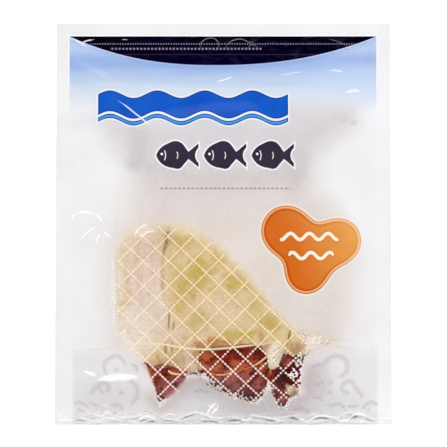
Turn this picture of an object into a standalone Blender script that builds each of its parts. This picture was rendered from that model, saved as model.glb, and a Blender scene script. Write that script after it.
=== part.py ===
"""A sealed flat pouch of dried squid, lying on its back with the printed side up.

Metres, +Z up. X runs across the pouch and Y towards its top seal. The origin is on the floor, under the
middle of the outline. The pouch is one closed body: a back that lies flat, thin seals that lift a little
off the floor, and a front that is drawn over the squid inside. The squid shows in the front's relief: a
mantle on top of another, its folded left margin, the fins at the top, and the heads and arms at the bottom.
"""
import math
from collections import namedtuple

import bmesh
import bpy

# Outline. The pouch spreads a little towards its gusset.
POUCH_LENGTH = 0.300
TOP_WIDTH = 0.2495
BOTTOM_WIDTH = 0.2525

# Seals, measured in from the outline
SIDE_SEAL = 0.011
TOP_SEAL = 0.0095
BOTTOM_SEAL = 0.007
SEAL_THICKNESS = 0.0010
SEAL_LIFT = 0.0018
SEAL_RIPPLE = 0.0004
SEAL_RIPPLE_LENGTH = 0.064

# How far in from each seal the front takes to reach its full height, and the back to reach the floor
SIDE_RUN = 0.030
TOP_RUN = 0.052
BOTTOM_RUN = 0.026
BACK_RUN = 0.014
SLACK = 0.0042

# Folded gusset along the bottom edge: four layers of film that buckle across the pouch
HEM_HEIGHT = 0.0014
HEM_WAVE = 0.0008
HEM_WAVE_LENGTH = 0.031
HEM_DEPTH = 0.016

# One mound of the front for each large thing inside. EDGE is the share of the half size that slopes.
Mound = namedtuple("Mound", "x y half_x half_y turn height edge")
MOUNDS = {
    "lower_mantle": Mound(0.012, -0.008, 0.088, 0.100, 0.0, 0.0024, 0.32),
    "upper_mantle": Mound(-0.011, 0.000, 0.072, 0.096, 0.0, 0.0030, 0.24),
    "folded_margin": Mound(-0.062, -0.034, 0.019, 0.066, 2.0, 0.0020, 0.55),
    "fins": Mound(0.004, 0.068, 0.098, 0.026, 6.0, 0.0016, 0.45),
    "upper_head": Mound(0.002, -0.103, 0.052, 0.022, -3.0, 0.0052, 0.60),
    "upper_arms": Mound(-0.010, -0.119, 0.062, 0.017, -4.0, 0.0034, 0.60),
    "lower_head": Mound(0.049, -0.112, 0.024, 0.027, 12.0, 0.0030, 0.60),
}
MOUND_POWER = 2.8

# Mesh
PITCH = 0.0060

COLLECTION = "dried_squid_pouch"
FILM_COLOUR = (0.86, 0.85, 0.84, 1.0)
FILM_ROUGHNESS = 0.28


def smooth(amount):
    """An S curve from 0 to 1."""
    amount = min(max(amount, 0.0), 1.0)
    return amount * amount * (3.0 - 2.0 * amount)


def half_width(y):
    """Half the pouch's width at this height up the pouch."""
    share = 0.5 - y / POUCH_LENGTH
    return (TOP_WIDTH + (BOTTOM_WIDTH - TOP_WIDTH) * share) / 2


def inside_seals(x, y, side_run, top_run, bottom_run):
    """0 on the seals, rising to 1 where each run ends."""
    from_side = half_width(y) - SIDE_SEAL - abs(x)
    from_top = POUCH_LENGTH / 2 - TOP_SEAL - y
    from_bottom = y + POUCH_LENGTH / 2 - BOTTOM_SEAL
    return smooth(from_side / side_run) * smooth(from_top / top_run) * smooth(from_bottom / bottom_run)


def mound_height(mound, x, y):
    """The height that one thing inside adds under this point."""
    turn = math.radians(mound.turn)
    across = (x - mound.x) * math.cos(turn) + (y - mound.y) * math.sin(turn)
    along = (y - mound.y) * math.cos(turn) - (x - mound.x) * math.sin(turn)
    reach = abs(across / mound.half_x) ** MOUND_POWER + abs(along / mound.half_y) ** MOUND_POWER
    return mound.height * smooth((1.0 - reach ** (1 / MOUND_POWER)) / mound.edge)


def seal_ripple(x, y):
    """The slow wave of the thin edges, in both directions along the outline."""
    along = math.sin(math.tau * y / SEAL_RIPPLE_LENGTH + 1.0) * math.copysign(1.0, x)
    across = math.sin(math.tau * x / SEAL_RIPPLE_LENGTH)
    return SEAL_RIPPLE * 0.5 * (along * smooth(abs(x) / half_width(y)) + across)


def gusset_fold(x, y):
    """The buckled layers along the bottom edge."""
    near = 1.0 - smooth((y + POUCH_LENGTH / 2) / HEM_DEPTH)
    wave = math.sin(math.tau * x / HEM_WAVE_LENGTH + 0.7) + 0.4 * math.sin(math.tau * x / 0.0173)
    return near * (HEM_HEIGHT + HEM_WAVE * wave)


def back_height(x, y):
    loose = 1.0 - inside_seals(x, y, BACK_RUN, BACK_RUN, BACK_RUN)
    return loose * (SEAL_LIFT + seal_ripple(x, y))


def front_height(x, y):
    filled = inside_seals(x, y, SIDE_RUN, TOP_RUN, BOTTOM_RUN)
    relief = sum(mound_height(mound, x, y) for mound in MOUNDS.values())
    edge = SEAL_LIFT + SEAL_THICKNESS + seal_ripple(x, y) + gusset_fold(x, y)
    return edge + filled * (SLACK + relief)


def stations(length, first_seal, last_seal):
    """Grid lines from -length / 2 to length / 2, with one on each seal's inner edge."""
    start = -length / 2 + first_seal
    end = length / 2 - last_seal
    count = round((end - start) / PITCH)
    between = [start + (end - start) * index / count for index in range(count + 1)]
    return [-length / 2, *between, length / 2]


def remove_startup_objects():
    for obj in list(bpy.data.objects):
        bpy.data.objects.remove(obj, do_unlink=True)


def film_material():
    material = bpy.data.materials.new("pouch_film")
    material.use_nodes = True
    shader = material.node_tree.nodes["Principled BSDF"]
    shader.inputs["Base Color"].default_value = FILM_COLOUR
    shader.inputs["Roughness"].default_value = FILM_ROUGHNESS
    shader.inputs["Metallic"].default_value = 0.0
    return material


def place_grid(sheet):
    """Moves a unit grid's points onto the pouch's grid lines, in plan."""
    middle_width = (TOP_WIDTH + BOTTOM_WIDTH) / 2
    columns = stations(middle_width, SIDE_SEAL, SIDE_SEAL)
    rows = stations(POUCH_LENGTH, BOTTOM_SEAL, TOP_SEAL)
    bmesh.ops.create_grid(sheet, x_segments=len(columns) - 1, y_segments=len(rows) - 1, size=1.0)
    for point in sheet.verts:
        column = columns[round((point.co.x + 1) / 2 * (len(columns) - 1))]
        row = rows[round((point.co.y + 1) / 2 * (len(rows) - 1))]
        point.co.x = column * half_width(row) / (middle_width / 2)
        point.co.y = row


def build_pouch(collection):
    """A flat sheet for the back, extruded once to the front, each side then taken to its own height."""
    body = bmesh.new()
    place_grid(body)
    back = list(body.verts)
    extruded = bmesh.ops.extrude_face_region(body, geom=body.faces[:], use_keep_orig=True)
    front = [item for item in extruded["geom"] if isinstance(item, bmesh.types.BMVert)]
    for point in front:
        point.co.z = front_height(point.co.x, point.co.y)
    for point in back:
        point.co.z = back_height(point.co.x, point.co.y)
    bmesh.ops.recalc_face_normals(body, faces=body.faces[:])
    mesh = bpy.data.meshes.new("pouch")
    body.to_mesh(mesh)
    body.free()
    mesh.shade_smooth()
    mesh.set_sharp_from_angle(angle=math.radians(40))
    mesh.materials.append(film_material())
    pouch = bpy.data.objects.new("pouch", mesh)
    collection.objects.link(pouch)
    return pouch


def main():
    remove_startup_objects()
    collection = bpy.data.collections.new(COLLECTION)
    bpy.context.scene.collection.children.link(collection)
    build_pouch(collection)


main()
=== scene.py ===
"""The looks of a sealed pouch of dried squid that lies on its back, printed side up.

The pouch's film is one thin envelope: a front that is drawn over the squid, with its print, and a plain
milky back. The squid lie inside as meshes of their own and show through the clear window of the print.
Positions on the printed side are given in the photograph's pixels and turned into millimetres by PIXEL;
sizes of printed lines, seals and folds are in millimetres.
"""
import math
from collections import namedtuple
from functools import reduce

import bpy
import numpy as np
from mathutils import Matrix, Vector, noise
from mathutils.bvhtree import BVHTree


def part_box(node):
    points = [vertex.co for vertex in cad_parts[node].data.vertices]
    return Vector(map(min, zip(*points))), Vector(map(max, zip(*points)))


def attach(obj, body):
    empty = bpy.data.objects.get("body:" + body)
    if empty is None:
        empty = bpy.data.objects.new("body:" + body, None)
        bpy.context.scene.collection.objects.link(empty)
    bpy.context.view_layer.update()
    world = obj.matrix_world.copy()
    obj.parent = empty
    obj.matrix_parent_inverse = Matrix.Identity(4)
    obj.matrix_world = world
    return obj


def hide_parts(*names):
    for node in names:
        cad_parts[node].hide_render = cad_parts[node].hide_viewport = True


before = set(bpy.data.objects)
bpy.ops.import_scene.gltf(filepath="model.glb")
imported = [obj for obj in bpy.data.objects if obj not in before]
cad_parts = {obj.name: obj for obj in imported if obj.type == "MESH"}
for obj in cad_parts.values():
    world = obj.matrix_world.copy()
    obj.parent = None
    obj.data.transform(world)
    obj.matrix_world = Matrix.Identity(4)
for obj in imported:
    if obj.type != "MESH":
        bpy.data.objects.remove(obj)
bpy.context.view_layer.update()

LOW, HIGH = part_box("pouch")
BODY = "root"
MM = 0.001

# The photograph's frame: 447 pixels square, with the middle of the pouch a little off its centre
IMAGE_WIDTH = 447
PIXEL = 0.7455
MIDDLE_PIXEL = (223.4, 224.1)

# The pouch in millimetres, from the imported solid's box, with its seals as built
LENGTH = (HIGH.y - LOW.y) / MM
BOTTOM_WIDTH = (HIGH.x - LOW.x) / MM
TOP_WIDTH = BOTTOM_WIDTH - 3.0
SIDE_SEAL = 11.0
TOP_SEAL = 9.5
BOTTOM_SEAL = 7.0
SEAL_THICKNESS = 1.0
SEAL_LIFT = 1.8
SEAL_RIPPLE = 0.4
SEAL_RIPPLE_LENGTH = 64.0
SIDE_RUN = 30.0
TOP_RUN = 52.0
BOTTOM_RUN = 26.0
BACK_RUN = 14.0
PARTING_RUN = 10.0
SLACK = 4.2
HEM_HEIGHT = 1.4
HEM_WAVE = 0.8
HEM_WAVE_LENGTH = 31.0
HEM_SMALL_WAVE_LENGTH = 17.3
HEM_DEPTH = 16.0
FILM = 0.30
GUSSET_DEPTH = 55.0
GUSSET_STRIP = 12.0
GUSSET_LAYERS = 0.25

# The film's own crumple: the height, scale and seed of each layer of it
CRUMPLE = ((0.55, 19.0, 3.1), (0.30, 8.3, 7.7))

# Mounds that the squid make in the front, in millimetres: EDGE is the share of the half size that slopes
Mound = namedtuple("Mound", "x y half_x half_y turn height edge")
MOUNDS = {
    "lower_mantle": Mound(12, -8, 88, 100, 0, 2.4, 0.32),
    "upper_mantle": Mound(-11, 0, 72, 96, 0, 3.0, 0.24),
    "folded_margin": Mound(-62, -34, 19, 66, 2, 2.0, 0.55),
    "fins": Mound(4, 68, 98, 26, 6, 1.6, 0.45),
    "upper_head": Mound(2, -103, 52, 22, -3, 5.2, 0.60),
    "upper_arms": Mound(-10, -119, 62, 17, -4, 3.4, 0.60),
    "lower_head": Mound(49, -112, 24, 27, 12, 3.0, 0.60),
}
MOUND_POWER = 2.8


def face(across, down):
    """A pixel of the photograph as millimetres on the printed side."""
    return (across - MIDDLE_PIXEL[0]) * PIXEL, (MIDDLE_PIXEL[1] - down) * PIXEL


def column(across):
    """A column of the photograph's pixels, as X in millimetres."""
    return face(across, 0)[0]


def level(down):
    """A row of the photograph's pixels, as Y in millimetres."""
    return face(0, down)[1]


def smooth(amount):
    """An S curve from 0 to 1."""
    amount = np.clip(amount, 0.0, 1.0)
    return amount * amount * (3.0 - 2.0 * amount)


def turned(x, y, centre, degrees):
    """Points as seen from a centre, along axes that are turned."""
    turn = math.radians(degrees)
    x, y = x - centre[0], y - centre[1]
    return x * math.cos(turn) + y * math.sin(turn), y * math.cos(turn) - x * math.sin(turn)


def half_width(y):
    """Half the pouch's width at this height up the pouch."""
    return (TOP_WIDTH + (BOTTOM_WIDTH - TOP_WIDTH) * (0.5 - y / LENGTH)) / 2


def inside_seals(x, y, side_run, top_run, bottom_run):
    """0 on the seals, rising to 1 where each run ends."""
    from_side = half_width(y) - SIDE_SEAL - np.abs(x)
    from_top = LENGTH / 2 - TOP_SEAL - y
    from_bottom = y + LENGTH / 2 - BOTTOM_SEAL
    return smooth(from_side / side_run) * smooth(from_top / top_run) * smooth(from_bottom / bottom_run)


def mound_height(mound, x, y):
    across, along = turned(x, y, (mound.x, mound.y), mound.turn)
    reach = np.abs(across / mound.half_x) ** MOUND_POWER + np.abs(along / mound.half_y) ** MOUND_POWER
    return mound.height * smooth((1.0 - reach ** (1 / MOUND_POWER)) / mound.edge)


def seal_ripple(x, y):
    """The slow wave of the thin edges."""
    along = np.sin(math.tau * y / SEAL_RIPPLE_LENGTH + 1.0) * np.where(x < 0, -1.0, 1.0)
    across = np.sin(math.tau * x / SEAL_RIPPLE_LENGTH)
    return SEAL_RIPPLE * 0.5 * (along * smooth(np.abs(x) / half_width(y)) + across)


def gusset_fold(x, y):
    """The buckled layers along the bottom edge."""
    near = 1.0 - smooth((y + LENGTH / 2) / HEM_DEPTH)
    wave = np.sin(math.tau * x / HEM_WAVE_LENGTH + 0.7) + 0.4 * np.sin(math.tau * x / HEM_SMALL_WAVE_LENGTH)
    return near * (HEM_HEIGHT + HEM_WAVE * wave)


def back_height(x, y):
    loose = 1.0 - inside_seals(x, y, BACK_RUN, BACK_RUN, BACK_RUN)
    return loose * (SEAL_LIFT + seal_ripple(x, y))


def taut_height(x, y):
    """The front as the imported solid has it, drawn over the squid with no creases."""
    filled = inside_seals(x, y, SIDE_RUN, TOP_RUN, BOTTOM_RUN)
    relief = sum(mound_height(mound, x, y) for mound in MOUNDS.values())
    parted = smooth(inside_seals(x, y, PARTING_RUN, PARTING_RUN, PARTING_RUN))
    thickness = FILM + (SEAL_THICKNESS - FILM) * parted
    return SEAL_LIFT + thickness + seal_ripple(x, y) + gusset_fold(x, y) + filled * (SLACK + relief)


# Creases of the front film: PATH in the photograph's pixels, WIDTH and HEIGHT of the ridge in millimetres,
# and WHITE, the strength of the pale line along it, partly the film's whitening and partly a painted
# highlight
Crease = namedtuple("Crease", "path width height white")
GUSSET_CREASE = Crease(((118, 346), (128, 344), (151, 343.5), (163, 344.2), (176, 346.5), (196, 348.8),
                        (212, 348.8), (224, 348), (233, 347), (245, 345.6), (258, 344.4), (270, 343),
                        (281, 341.6), (290, 341)), 1.25, 0.50, 1.0)
CREASES = (
    GUSSET_CREASE,
    Crease(((58, 351), (84, 349), (104, 347), (122, 345)), 0.9, 0.55, 0.0),
    Crease(((284, 342), (318, 344), (352, 347), (390, 352)), 0.9, 0.55, 0.0),
    # Across the ribbons
    Crease(((117, 100), (126, 106), (136, 114), (146, 122), (154, 130)), 0.9, 0.35, 0.85),
    Crease(((60, 120), (85, 104), (110, 97)), 1.2, 0.25, 0.0),
    # Loops at the left of the window
    Crease(((76, 213.5), (84, 212), (94, 213.5)), 0.8, 0.30, 0.75),
    Crease(((95, 214.5), (99, 217), (102, 222)), 0.8, 0.30, 0.8),
    Crease(((72.5, 219), (73, 216), (76, 214)), 0.7, 0.20, 0.6),
    Crease(((80, 240), (86, 233.5), (92, 229), (98, 226.5)), 0.7, 0.25, 0.7),
    Crease(((96, 243), (97.5, 238), (101, 232)), 0.9, 0.20, 0.4),
    Crease(((103, 231), (106, 234), (111, 237)), 0.9, 0.20, 0.45),
    Crease(((135, 237), (137, 231), (142, 226.5), (150, 224)), 1.3, 0.35, 0.7),
    Crease(((137, 238), (143, 234.5), (149, 232), (158, 230)), 1.3, 0.30, 0.7),
    # Glare line and its neighbours at the lower left
    Crease(((98, 379.5), (106, 378.5), (116, 377.5), (126, 377), (138, 376.5)), 3.0, 0.90, 1.0),
    Crease(((83, 371.5), (89, 373), (97, 376.5)), 1.4, 0.30, 0.75),
    # Star at the bottom
    Crease(((206, 416), (211, 408), (218, 401)), 1.0, 0.45, 0.95),
    Crease(((210, 415), (216, 410), (219, 403)), 0.9, 0.35, 0.9),
    Crease(((207, 405), (213, 408), (219, 413)), 0.8, 0.30, 0.7),
    # Under the header
    Crease(((217, 81), (225, 79.5), (233, 76.5)), 0.8, 0.30, 0.85),
    Crease(((280, 75), (291, 73), (302, 71.5)), 0.7, 0.20, 0.4),
    Crease(((328, 71), (335, 70), (344, 72)), 0.8, 0.25, 0.6),
    Crease(((346, 93), (353, 90.5), (361, 91)), 1.4, 0.30, 0.6),
    Crease(((70, 58), (88, 66), (108, 76)), 3.6, 0.20, 0.05),
    Crease(((82, 66), (102, 74), (124, 84)), 4.2, 0.20, 0.04),
    # Header corner and loops
    Crease(((80, 43.5), (86, 40.5), (94, 39)), 0.8, 0.35, 0.9),
    Crease(((71, 37.5), (79, 42), (88, 47)), 0.8, 0.30, 0.75),
    Crease(((121, 39.5), (124, 39), (128, 39.5)), 0.5, 0.15, 0.5),
    Crease(((203, 51), (200, 44), (206, 38.5), (214, 38), (219, 44), (215, 51)), 0.5, 0.20, 0.22),
    Crease(((225, 48), (231, 41), (241, 38.5), (250, 42), (257, 39)), 0.5, 0.20, 0.25),
    Crease(((259, 48), (252, 44), (247, 49)), 0.5, 0.15, 0.15),
    Crease(((328, 38), (340, 42), (350, 47)), 0.5, 0.18, 0.15),
    # Long soft folds of the free film at the sides and the top
    Crease(((70, 130), (92, 150), (100, 190), (96, 225)), 2.6, 0.35, 0.0),
    Crease(((120, 100), (134, 130), (138, 160), (132, 185)), 2.2, 0.35, 0.0),
    Crease(((300, 170), (322, 150), (340, 128), (358, 112)), 2.4, 0.40, 0.0),
    Crease(((374, 130), (360, 160), (352, 200), (358, 250)), 2.6, 0.30, 0.0),
    Crease(((378, 300), (350, 318), (322, 330), (300, 336)), 1.8, 0.35, 0.0),
    Crease(((236, 196), (262, 206), (276, 220)), 1.8, 0.25, 0.0),
)

# Folds of the bottom edge: PATH runs across the pouch
HemFold = namedtuple("HemFold", "path width height")
HEM_FOLDS = (
    HemFold(((70, 421), (92, 423.5), (105, 419), (118, 418), (135, 417.4), (147, 412.5), (155, 413.5),
             (163, 418), (177, 420.5), (188, 414.3), (200, 412.5), (213, 419), (224, 418), (235, 416.5),
             (245, 418), (254, 416.6), (269, 419), (286, 418), (296, 416), (303, 420.5), (313, 415.3),
             (326, 416.6), (337, 418.5), (348, 413), (356, 414.7), (368, 417), (380, 420)), 0.62, 1.2),
    HemFold(((70, 417), (82, 419), (99, 422.5), (120, 420.8), (137, 423.5), (154, 419.8), (169, 422.5),
             (192, 419.6), (213, 420.8), (232, 422.6), (252, 420.6), (270, 422.8), (290, 419.8),
             (308, 423.2), (330, 420.4), (350, 422.2), (380, 423.4)), 0.55, 1.0),
    HemFold(((70, 414), (86, 415.5), (100, 412.5), (112, 416), (130, 413), (150, 418), (170, 414),
             (184, 418.5), (205, 416), (222, 413.8), (246, 415.2), (270, 414), (292, 412.6), (306, 417),
             (322, 412.4), (345, 416.5), (362, 411.5), (380, 415)), 0.5, 0.45),
)


def eased_path(path, steps=8):
    """A smooth line through a path's pixels, as arrays of x and y in millimetres."""
    points = np.array([face(*point) for point in (path[0], *path, path[-1])])
    share = np.linspace(0, 1, steps, endpoint=False)[:, None]
    runs = []
    for a, b, c, d in zip(points[:-3], points[1:-2], points[2:-1], points[3:]):
        runs.append(0.5 * (2 * b + (c - a) * share + (2 * a - 5 * b + 4 * c - d) * share ** 2
                           + (3 * b - a - 3 * c + d) * share ** 3))
    return np.vstack([*runs, points[-1:]]).T


def gap_to_run(x, y, start, end):
    """How far each point is from a straight run, and the share of the run at which it is nearest."""
    (ax, ay), (bx, by) = start, end
    reach = max((bx - ax) ** 2 + (by - ay) ** 2, 1e-9)
    share = np.clip(((x - ax) * (bx - ax) + (y - ay) * (by - ay)) / reach, 0, 1)
    return np.hypot(x - ax - share * (bx - ax), y - ay - share * (by - ay)), share


def distance_to_path(x, y, path, steps=8):
    """How far each point is from an eased path, and how far along it its nearest point is, from 0 to 1."""
    best = np.full(np.shape(x), np.inf)
    along = np.zeros(np.shape(x))
    line = eased_path(path, steps).T
    for index, ends in enumerate(zip(line[:-1], line[1:])):
        gap, share = gap_to_run(x, y, *ends)
        along = np.where(gap < best, (index + share) / (len(line) - 1), along)
        best = np.minimum(gap, best)
    return best, along


def share_inside(path, x, y, soft):
    """1 inside a closed path of pixels and 0 outside it, easing over SOFT millimetres on each side."""
    corners = [face(*point) for point in path]
    inside = np.zeros(np.shape(x), bool)
    gap = np.full(np.shape(x), np.inf)
    for (ax, ay), (bx, by) in zip(corners, corners[1:] + corners[:1]):
        crosses = (ay > y) != (by > y)
        inside ^= crosses & (x < (bx - ax) * (y - ay) / ((by - ay) or 1e-9) + ax)
        gap = np.minimum(gap, gap_to_run(x, y, (ax, ay), (bx, by))[0])
    return smooth(0.5 + np.where(inside, gap, -gap) / (2 * soft))


def ridge(distance, width):
    """The section of a crease: two slopes that meet in a narrow round crest."""
    crest = 0.35 * width
    return np.exp(-(np.sqrt(distance ** 2 + crest ** 2) - crest) / width)


def crease_height(x, y):
    total = np.zeros(np.shape(x))
    for crease in CREASES:
        distance, along = distance_to_path(x, y, crease.path)
        fade = smooth(along / 0.18) * smooth((1 - along) / 0.18)
        total += crease.height * fade * ridge(distance, crease.width)
    return total


def hem_levels(x):
    """Where each fold of the bottom edge runs, at these places across."""
    for fold in HEM_FOLDS:
        yield fold, np.interp(x, *eased_path(fold.path))


def hem_height(x, y):
    """The crumpled layers of the gusset along the bottom edge."""
    near = smooth((HEM_DEPTH - y - LENGTH / 2) / 6.0)
    total = 0.9 * near * crinkle(x, y, 6.5, 5.5)
    for fold, middle in hem_levels(x):
        swell = 0.6 + crinkle(x, y * 0, 9.0, fold.height)
        total += fold.height * swell * ridge(np.abs(y - middle), fold.width)
    return total * smooth((half_width(y) - np.abs(x)) / 4.0)


def crinkle(x, y, scale, seed):
    """Creased noise from 0 to about 1, with the sharp valleys of crumpled film."""
    flat_x, flat_y = np.ravel(x) / scale, np.ravel(y) / scale
    values = [abs(noise.noise(Vector((a, b, seed)))) for a, b in zip(flat_x.tolist(), flat_y.tolist())]
    return np.reshape(values, np.shape(x))


def gusset_step(x, y):
    """The extra layers where the gusset is sealed into both side seals, 1 on them and 0 elsewhere."""
    from_side = half_width(y) - np.abs(x)
    from_bottom = y + LENGTH / 2
    return smooth((GUSSET_STRIP - from_side) / 0.8 + 0.5) * smooth((GUSSET_DEPTH - from_bottom) / 1.2 + 0.5)


def front_height(x, y):
    """The front film with all its creases."""
    crumple = sum(height * crinkle(x, y, scale, seed) for height, scale, seed in CRUMPLE)
    height = taut_height(x, y) + crease_height(x, y) + hem_height(x, y)
    return height + inside_seals(x, y, 12.0, 12.0, 6.0) * crumple + GUSSET_LAYERS * gusset_step(x, y)


def fold_shade(x, y):
    """Painted shade in the hollows under the folds of the bottom edge, and painted highlights on their
    crests, both from 0 to 1.
    """
    hollow, crest = np.zeros(np.shape(x)), np.zeros(np.shape(x))
    for index, (fold, middle) in enumerate(hem_levels(x)):
        broken = 2.2 * crinkle(x, y * 0, 15.0, 2.2 + index) + 0.2 * crinkle(x, y, 2.0, 4.0) - 0.1
        thick = fold.width * (0.9 + 1.6 * crinkle(x, y * 0, 10.0, 5.7 + index))
        under = np.exp(-((y - middle + fold.width + thick) / thick) ** 2)
        hollow = np.maximum(hollow, fold.height * smooth(broken) * under)
        worn = 2.4 * crinkle(x, y * 0, 16.0, 8.1 + index) + 0.35
        crest = np.maximum(crest, fold.height * smooth(worn) * np.exp(-((y - middle) / fold.width) ** 2))
    fine = crinkle(x, y * 1.7, 3.4, 6.3)
    near = smooth((9.5 + 5.0 * smooth(-(x + 60.0) / 20.0) - y - LENGTH / 2) / 6.0)
    crest = np.maximum(crest, 0.75 * near * smooth((0.10 - fine) / 0.10))
    hollow = np.maximum(hollow, 0.7 * near * smooth((fine - 0.30) / 0.25))
    seen = smooth((half_width(y) - 13.0 - np.abs(x)) / 6.0)
    return {"fold_hollow_shade": np.clip(hollow, 0, 1) * seen, "fold_crest_highlight": np.clip(crest, 0, 1) * seen}


def lines(length, first, last, pitch, fine=()):
    """Grid lines across a length: one on each seal's edge, and more in each (from, to, pitch) of FINE."""
    half = length / 2
    marks = sorted({-half, -half + first, half - last, half, *(end for run in fine for end in run[:2])})
    made = [np.array([-half])]
    for start, end in zip(marks[:-1], marks[1:]):
        inner = min([near for low, high, near in fine if low <= (start + end) / 2 <= high], default=pitch)
        if end - start > 1e-6:
            made.append(np.linspace(start, end, max(1, round((end - start) / inner)) + 1)[1:])
    return np.concatenate(made)


def grid_faces(rows, columns, offset=0):
    """The quads of a grid of points numbered row by row."""
    index = np.arange(rows * columns).reshape(rows, columns) + offset
    corners = [index[:-1, :-1], index[:-1, 1:], index[1:, 1:], index[1:, :-1]]
    return np.stack([corner.ravel() for corner in corners], axis=1)


def shown(name, points, faces, materials):
    """A new smooth piece from points in millimetres, riding on the pouch's body."""
    mesh = bpy.data.meshes.new(name)
    mesh.from_pydata((np.asarray(points) * MM).tolist(), [], faces)
    mesh.shade_smooth()
    for material in materials:
        mesh.materials.append(material)
    piece = bpy.data.objects.new(name, mesh)
    bpy.context.scene.collection.objects.link(piece)
    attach(piece, BODY)
    return piece


def slab(name, x, y, top, bottom, materials):
    """A closed sheet: a grid for its top, one for its underside, and a band between them round the rim."""
    count = x.size
    index = np.arange(count).reshape(x.shape)
    ring = np.concatenate([index[0, :-1], index[:-1, -1], index[-1, :0:-1], index[:0:-1, 0]])
    after = np.roll(ring, -1)
    band = np.stack([ring, ring + count, after + count, after], axis=1)
    points = np.concatenate([np.dstack([x, y, z]).reshape(-1, 3) for z in (top, bottom)])
    faces = np.concatenate([grid_faces(*x.shape), grid_faces(*x.shape, offset=count)[:, ::-1], band])
    return shown(name, points, faces.tolist(), materials)


def note(piece, values):
    """Named values on the points of a piece. A slab's underside, whose points come last, has zeros."""
    for name, given in values.items():
        kept = np.zeros(len(piece.data.vertices), np.float32)
        kept[:np.size(given)] = np.ravel(given)
        piece.data.attributes.new(name, "FLOAT", "POINT").data.foreach_set("value", kept)


class Wire:
    """A node's output. Reckoning with it adds Math nodes to the same tree."""

    def __init__(self, wiring, socket):
        self.wiring, self.socket = wiring, socket

    def math(self, operation, *others):
        return self.wiring.math(operation, self, *others)

    def __add__(self, other):
        return self.math("ADD", other)

    def __sub__(self, other):
        return self.math("SUBTRACT", other)

    def __rsub__(self, other):
        return self.wiring.math("SUBTRACT", other, self)

    def __neg__(self):
        return 0.0 - self

    def __mul__(self, other):
        return self.math("MULTIPLY", other)

    __rmul__ = __mul__

    def __truediv__(self, other):
        return self.math("DIVIDE", other)

    def __pow__(self, power):
        return self.math("POWER", power)

    def __abs__(self):
        return self.math("ABSOLUTE")

    def ease(self, low, high, to_low=0.0, to_high=1.0):
        """Eases from TO_LOW at LOW to TO_HIGH at HIGH."""
        made = self.wiring.node("ShaderNodeMapRange", {"Value": self, "From Min": low, "From Max": high,
                                                       "To Min": to_low, "To Max": to_high},
                                interpolation_type="SMOOTHSTEP")
        return Wire(self.wiring, made.outputs["Result"])

    def within(self, low, high, soft):
        """1 between LOW and HIGH, easing to 0 over the last SOFT before each of them."""
        return least(self.ease(low, low + soft), self.ease(high, high - soft))


def least(*values):
    return reduce(lambda wire, value: wire.math("MINIMUM", value), values)


def most(*values):
    return reduce(lambda wire, value: wire.math("MAXIMUM", value), values)


def length(x, y):
    return (x * x + y * y).math("SQRT")


class Wiring:
    """Adds nodes to one tree: each call places a node, wires what it is given and returns its output."""

    def __init__(self, tree):
        self.tree = tree

    def feed(self, node, inputs):
        """Gives each input of a node, by its name or number, a wire, a colour or a plain value."""
        for name, value in inputs.items():
            socket = node.inputs[name]
            if isinstance(value, Wire):
                self.tree.links.new(value.socket, socket)
            elif socket.type == "RGBA":
                socket.default_value = (*value, 1.0)
            else:
                socket.default_value = value

    def node(self, kind, inputs, **settings):
        made = self.tree.nodes.new(kind)
        for name, value in settings.items():
            setattr(made, name, value)
        self.feed(made, inputs)
        return made

    def math(self, operation, *values):
        made = self.node("ShaderNodeMath", dict(enumerate(values)), operation=operation)
        return Wire(self, made.outputs[0])

    def mix(self, share, first, second, blend="MIX"):
        """FIRST where the share is 0, SECOND where it is 1."""
        made = self.node("ShaderNodeMix", {}, data_type="RGBA", blend_type=blend)
        self.feed(made, {"Factor": share, 6: first, 7: second})
        return Wire(self, made.outputs[2])

    def coats(self, colour, *coats):
        """A colour under coats of others, each given as its share and its colour."""
        return reduce(lambda under, coat: self.mix(coat[0], under, coat[1]), coats, colour)

    def noted(self, name):
        """A value that is kept on the mesh's points."""
        return Wire(self, self.node("ShaderNodeAttribute", {}, attribute_name=name).outputs["Fac"])

    def here(self):
        return Wire(self, self.node("ShaderNodeTexCoord", {}).outputs["Object"])

    def place(self):
        """X and Y on the printed side in millimetres."""
        split = self.node("ShaderNodeSeparateXYZ", {"Vector": self.here()})
        return [Wire(self, split.outputs[axis]) * (1 / MM) for axis in "XY"]

    def stretched(self, scale, stretch=(1, 1, 1), shift=(0, 0, 0)):
        scales = [scale * value / MM for value in stretch]
        made = self.node("ShaderNodeMapping", {"Vector": self.here(), "Location": shift, "Scale": scales})
        return Wire(self, made.outputs["Vector"])

    def noise(self, scale, detail=2.0, roughness=0.5, stretch=(1, 1, 1), shift=(0, 0, 0)):
        """Noise whose features are about 1 / SCALE millimetres across, centred on 0.5."""
        made = self.node("ShaderNodeTexNoise", {"Vector": self.stretched(scale, stretch, shift),
                                                "Scale": 1.0, "Detail": detail, "Roughness": roughness})
        return Wire(self, made.outputs["Fac"])

    def dots(self, scale):
        """Distance to the nearest of scattered points, in cells of 1 / SCALE millimetres."""
        made = self.node("ShaderNodeTexVoronoi", {}, voronoi_dimensions="2D")
        self.feed(made, {"Vector": self.stretched(scale), "Scale": 1.0})
        return Wire(self, made.outputs["Distance"])

    def bump(self, height, strength, distance):
        made = self.node("ShaderNodeBump", {"Height": height, "Strength": strength, "Distance": distance})
        return Wire(self, made.outputs["Normal"])

    def effect(self, group, **values):
        """Places an effect's group with its own values, and gives its outputs by their names."""
        made = self.node("ShaderNodeGroup", {}, node_tree=group)
        self.feed(made, {name.replace("_", " "): value for name, value in values.items()})
        return {output.name: Wire(self, output) for output in made.outputs}


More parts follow.
